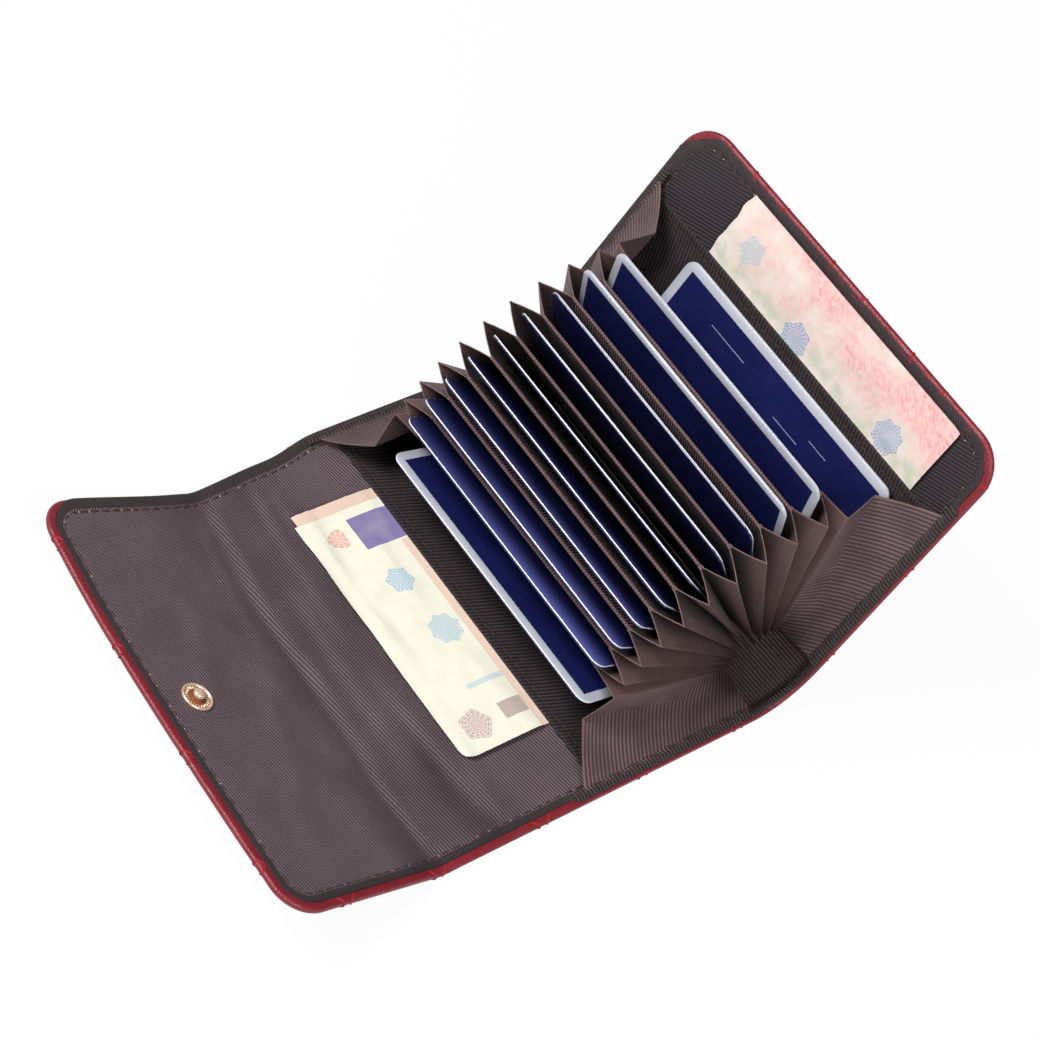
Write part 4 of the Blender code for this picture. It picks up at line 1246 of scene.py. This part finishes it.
def build_band(name, node, body, place):
    """A slip pocket: ribbed cloth sewn down on three sides, with a turned top edge."""
    low, high = extent(node, place)
    half, reach = high.x, high.y
    top, under = high.z, low.z
    columns = sorted(set([-half, -half + 0.3, -half + 1.2, -half + 3.0] + spaced(-half + 4, half - 4, 3.0)
                         + [half - 3.0, half - 1.2, half - 0.3, half]))
    rows = spaced(0.0, reach - 2.6, 4.0) + [reach - 2.2, reach - 2.0, reach - 0.5, reach - 0.12, reach]

    def surface(x, r, outer):
        rise = smooth((half - abs(x)) / 2.6)
        hem = 0.12 * smooth((r - reach + 2.3) / 0.4) * (1 - smooth((r - reach + 0.25) / 0.25))
        upper = under + 0.3 + (top - under - 0.42) * rise + hem + 0.04 * soft_noise(x / 9, r / 9)
        return place(x, r, upper if outer else max(under, upper - 0.4 - hem))

    shape = Shape()
    sheets = []
    for outer in (True, False):
        sheets.append(len(shape.points))
        add_sheet(shape, rows, columns, lambda x, r: surface(x, r, outer))
    rim = grid_rim(len(columns), len(rows))
    for a, b in zip(rim, rim[1:] + rim[:1]):
        shape.faces.append([sheets[0] + a, sheets[0] + b, sheets[1] + b, sheets[1] + a])
        shape.finishes.append(0)
    for x0 in spaced(-half + 3, half - 3, 2.6)[:-1]:
        r, level = reach - 2.3, top + 0.02
        stitch(shape, Vector((x0, r, level)), Vector((x0 + 2.0, r, level)), 0.15, 1, place, 0.1)
    obj = shape.piece(name, [RIBBED, BROWN_THREAD], "ribbed_cloth", sharp=50)
    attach(obj, body)
    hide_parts(node)


def corner_pull(dx, dr, radius):
    """How far a point so near a square corner moves in to round it."""
    if dx >= radius or dr >= radius:
        return 0.0, 0.0
    a, b = radius - dx, radius - dr
    share = 1 - max(a, b) / math.hypot(a, b)
    return a * share, b * share


def note_lift(x, r, layer, torn):
    """How far a note's layer stands off its panel, past its pocket."""
    free = smooth((r - NOTE_FREE) / 20)
    lift = free * (0.35 + 0.45 * soft_noise(x / 16, r / 16, layer)) * (1 - 0.4 * layer)
    if torn:
        return max(lift, 0.5 * smooth((r - NOTE_FREE) / 4))
    return max(lift, 0.12 + crease_under(x, r, NOTE_TRAVEL), 0.0) * smooth((r - 52.3) / 3.5)


def build_note(name, node, body, place, finishes, torn):
    """A folded note: two wavy layers. The torn one has a ragged near edge and square corners."""
    low, high = extent(node, place)
    shape = Shape()
    width = high.x - low.x - (6.0 if torn else 3.5)
    upper, lower = high.z - 0.07, low.z + 0.07
    if torn:
        layers = ((low.x + 3.5, high.y, upper), (low.x + 2.6, high.y, lower))
    else:
        layers = ((low.x + 3.5, high.y + 1.9, upper), (low.x, high.y + 0.7, lower))
    for layer, (x_low, top, level) in enumerate(layers):
        xs, rs = spaced(x_low, x_low + width, FINE_PITCH), spaced(low.y, top, FINE_PITCH)
        points, places = [], []
        for r in rs:
            for x in xs:
                wave = 0.05 * math.sin(x / 7 + layer) + 0.04 * math.sin(r / 9 + x / 23)
                ragged = 0.0
                if torn and x < x_low + 1.0:
                    ragged = 0.7 * soft_noise(r / 4.0, 4.0 + layer) + 0.4
                rounding = corner_pull(x_low + width - x, top - r, 0.6 if torn else 3.0)
                at = (x + ragged - rounding[0], r - rounding[1])
                points.append(place(*at, level + 0.3 * wave + note_lift(x, r, layer, torn)))
                places.append(at)
        shape.add(points, grid_faces(len(xs), len(rs)), layer, places)
    slot = "cream_paper" if node == "back_note" else "pink_paper"
    obj = shape.piece(name, finishes, slot, thickness=NOTE_SHEET)
    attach(obj, body)
    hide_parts(node)


def lathe(shape, profile, place, centre, finish=0, steps=48):
    """A turned form about a panel's inward direction. Its profile is (radius, height) pairs."""
    points = []
    for radius, h in profile:
        for i in range(steps):
            angle = 2 * math.pi * i / steps
            x, r = centre[0] + radius * math.cos(angle), centre[1] + radius * math.sin(angle)
            points.append(place(x, r, h))
    faces = ring_faces(steps, len(profile))
    faces.append(list(range(steps)))
    faces.append([(len(profile) - 1) * steps + i for i in range(steps)][::-1])
    shape.add(points, faces, finish)


def turned_size(node, place):
    """A turned node's centre, radius, lowest and highest place."""
    low, high = extent(node, place)
    return ((low.x + high.x) / 2, (low.y + high.y) / 2), (high.x - low.x) / 2, low.z, high.z


def build_stud():
    """The snap's stud: a dished plate with a rolled rim, fine radial ridges and a round bulb."""
    centre, rim, foot, top = turned_size("snap_stud", FLAP)
    dish, bulb = foot + 0.12, top + 0.5
    shape = Shape()
    plate = [(rim - 0.1, foot), (rim, foot + 0.2), (rim - 0.05, foot + 0.5), (rim - 0.3, foot + 0.66),
             (rim - 0.6, foot + 0.55), (rim - 0.8, dish)]
    lathe(shape, plate, FLAP, centre, 0)
    # The dish and neck in darker metal: painted shade in the recess.
    floor = [(rim - 0.78, foot + 0.02), (rim - 0.78, dish + 0.02), (1.9, dish), (1.3, dish + 0.08),
             (0.95, dish + 0.3), (0.9, bulb - 1.9)]
    lathe(shape, floor, FLAP, centre, 1)
    ball = [(0.85, bulb - 2.0)] + arc(0.0, bulb - 0.95, 1.62, 0.95, range(-55, 90, 12))
    lathe(shape, ball, FLAP, centre, 0)
    for i in range(STUD_RIDGES):
        angle = 2 * math.pi * i / STUD_RIDGES
        way = Vector((math.cos(angle), math.sin(angle)))
        ends = [Vector((centre[0] + far * way.x, centre[1] + far * way.y, dish + 0.06))
                for far in (2.5, rim - 0.85)]
        stitch(shape, ends[0], ends[1], 0.17, 0, FLAP, 0.02)
    obj = shape.piece("stud_plate", [METAL, METAL_PAINTED_SHADE], "snap_metal", sharp=50)
    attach(obj, "flap")
    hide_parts("snap_stud")


def build_cap():
    """The snap's outer cap: a low dome inside a rolled rim."""
    centre, rim, crown = turned_size("snap_cap", FLAP)[:3]
    shape = Shape()
    edge = [(rim - 0.6, 0.1), (rim - 0.15, 0.05), (rim, -0.15), (rim - 0.02, -0.42), (rim - 0.25, -0.58),
            (rim - 0.5, -0.52), (rim - 0.62, -0.4)]
    lathe(shape, edge, FLAP, centre, 0)
    dome = [(rim - 0.6, -0.2)] + arc(0.0, -0.42, rim - 0.6, crown + 0.42, range(0, 90, 9)) + [(0.05, crown)]
    lathe(shape, dome, FLAP, centre, 0)
    obj = shape.piece("cap_dome", [METAL], "snap_metal", sharp=50)
    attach(obj, "flap")
    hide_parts("snap_cap")


def build_socket():
    """The snap's socket: a flanged ring with a raised lip round its bore."""
    centre, rim, face, back = turned_size("snap_socket", FRONT)
    shape = Shape()
    ring = [(BORE, back), (BORE, face + 0.2), (BORE + 0.1, face), (BORE + 0.45, face),
            (BORE + 0.65, face + 0.16), (rim - 0.9, face + 0.18), (rim - 0.7, face + 0.04),
            (rim - 0.3, face), (rim - 0.05, face + 0.12), (rim, face + 0.3), (rim - 0.1, 0.12)]
    lathe(shape, ring, FRONT, centre, 0)
    shape.faces = shape.faces[:-2]
    shape.finishes = shape.finishes[:-2]
    # The bore's inside in darker metal: painted shade.
    lathe(shape, [(BORE + 0.01, 0.3), (BORE + 0.01, -0.04), (0.4, -0.05)], FRONT, centre, 1)
    obj = shape.piece("socket_ring", [METAL, METAL_PAINTED_SHADE], "snap_metal", sharp=50)
    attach(obj, "front")
    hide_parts("snap_socket")


def build_edge_binding():
    """The overlocked edge beside each wide pleat, where it is sewn to the panel."""
    for name, place, body in (("back_overlock", BACK, "back"), ("front_overlock", FRONT, "front")):
        shape = Shape()
        for side in (1, -1):
            for r in spaced(0.6, SEAM_REACH + 1.5, OVERLOCK_PITCH):
                overlock_stitch(shape, place, side, r, OVERLOCK_TOP)
        obj = shape.piece(name, [DARK_THREAD], "ribbed_cloth", sharp=60)
        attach(obj, body)


# The stage: the floor's half width and place in metres, its colour, and shares of full white.
FLOOR_HALF = 3.0
FLOOR_LEVEL = -0.0003
FLOOR_GREY = (0.86, 0.86, 0.86, 1.0)
FLOOR_SHOWN = 0.95
GLOSSY_SHOWN = 0.15
AMBIENT = 0.08

# Each lamp's name, place and width in metres, and watts.
LAMPS = (("key", (-0.55, -0.75, 1.2), 0.7, 22.3), ("fill", (0.9, -0.35, 0.9), 0.6, 9.0))

# The camera's place from the middle of the back panel's spine edge, its turns in degrees and its lens.
CAMERA_PLACE = (281.51, -469.0, 617.39)
CAMERA_TURNS = (38.273, -16.585, 53.402)
CAMERA_LENS = 106.47


def build_stage():
    """A white floor that keeps the wallet's shadow and looks white to the camera."""
    mesh = bpy.data.meshes.new("floor")
    corners = [(FLOOR_HALF * x, FLOOR_HALF * y, FLOOR_LEVEL) for x, y in ((-1, -1), (1, -1), (1, 1), (-1, 1))]
    mesh.from_pydata(corners, [], [(0, 1, 2, 3)])
    floor = bpy.data.objects.new("floor", mesh)
    bpy.context.scene.collection.objects.link(floor)
    f = Finish("floor_white", Base_Color=FLOOR_GREY, Roughness=0.9)
    glossy = f.node("ShaderNodeLightPath").outputs["Is Glossy Ray"]
    glow = f.node("ShaderNodeEmission", {"Strength": 1.0}).outputs[0]
    share = f.times(f.seen(glossy), FLOOR_SHOWN)
    mix = f.node("ShaderNodeMixShader", {0: share, 1: f.shader.outputs[0], 2: glow})
    f.tree.links.new(mix.outputs[0], f.tree.nodes["Material Output"].inputs[0])
    mesh.materials.append(f.material)


def build_world():
    """Soft white surroundings: full to the camera, faint in reflections and as light."""
    world = bpy.data.worlds.new("studio")
    bpy.context.scene.world = world
    world.use_nodes = True
    nodes = Nodes(world.node_tree)
    background = nodes.tree.nodes["Background"]
    background.inputs["Color"].default_value = (1.0, 1.0, 1.0, 1.0)
    glossy = nodes.node("ShaderNodeLightPath").outputs["Is Glossy Ray"]
    strength = nodes.range(nodes.seen(nodes.times(glossy, GLOSSY_SHOWN)), 0.0, 1.0, AMBIENT, 1.0)
    nodes.tree.links.new(strength, background.inputs["Strength"])


def build_lamps():
    """Soft disks that look at the wallet."""
    for name, place, size, power in LAMPS:
        light = bpy.data.lights.new(name, "AREA")
        light.shape = "DISK"
        light.size = size
        light.energy = power
        lamp = bpy.data.objects.new(name, light)
        bpy.context.scene.collection.objects.link(lamp)
        lamp.location = place
        lamp.rotation_euler = (-Vector(place)).to_track_quat("-Z", "Y").to_euler()


def build_camera():
    """The photograph's viewpoint, looking down on the open wallet from its flap's side."""
    data = bpy.data.cameras.new("camera")
    data.sensor_width = 36.0
    data.lens = CAMERA_LENS
    data.clip_start = 0.01
    data.clip_end = 20.0
    camera = bpy.data.objects.new("camera", data)
    bpy.context.scene.collection.objects.link(camera)
    place = Vector(CAMERA_PLACE) + Vector((0.0, SPINE_Y, 0.0))
    turn = Euler([math.radians(angle) for angle in CAMERA_TURNS])
    camera.matrix_world = Matrix.Translation(place * MM) @ turn.to_matrix().to_4x4()
    bpy.context.scene.camera = camera


build_camera()
build_stage()
build_world()
build_lamps()
bpy.context.scene.view_settings.view_transform = "Standard"
build_shell()
build_front()
build_spine()
for pocket in range(DIVIDERS + 1):
    build_gusset(pocket)
    build_card(pocket)
for leaf in range(DIVIDERS):
    build_leaf(leaf)
build_band("back_band", "back_slip_pocket", "back", BACK)
build_band("front_band", "front_slip_pocket", "front", FRONT)
build_note("cream_note", "back_note", "back_note", BACK, [CREAM_PAPER, SALMON_PAPER], False)
build_note("rose_note", "front_note", "front_note", FRONT, [ROSE_PAPER, ROSE_PAPER], True)
build_stud()
build_cap()
build_socket()
build_edge_binding()
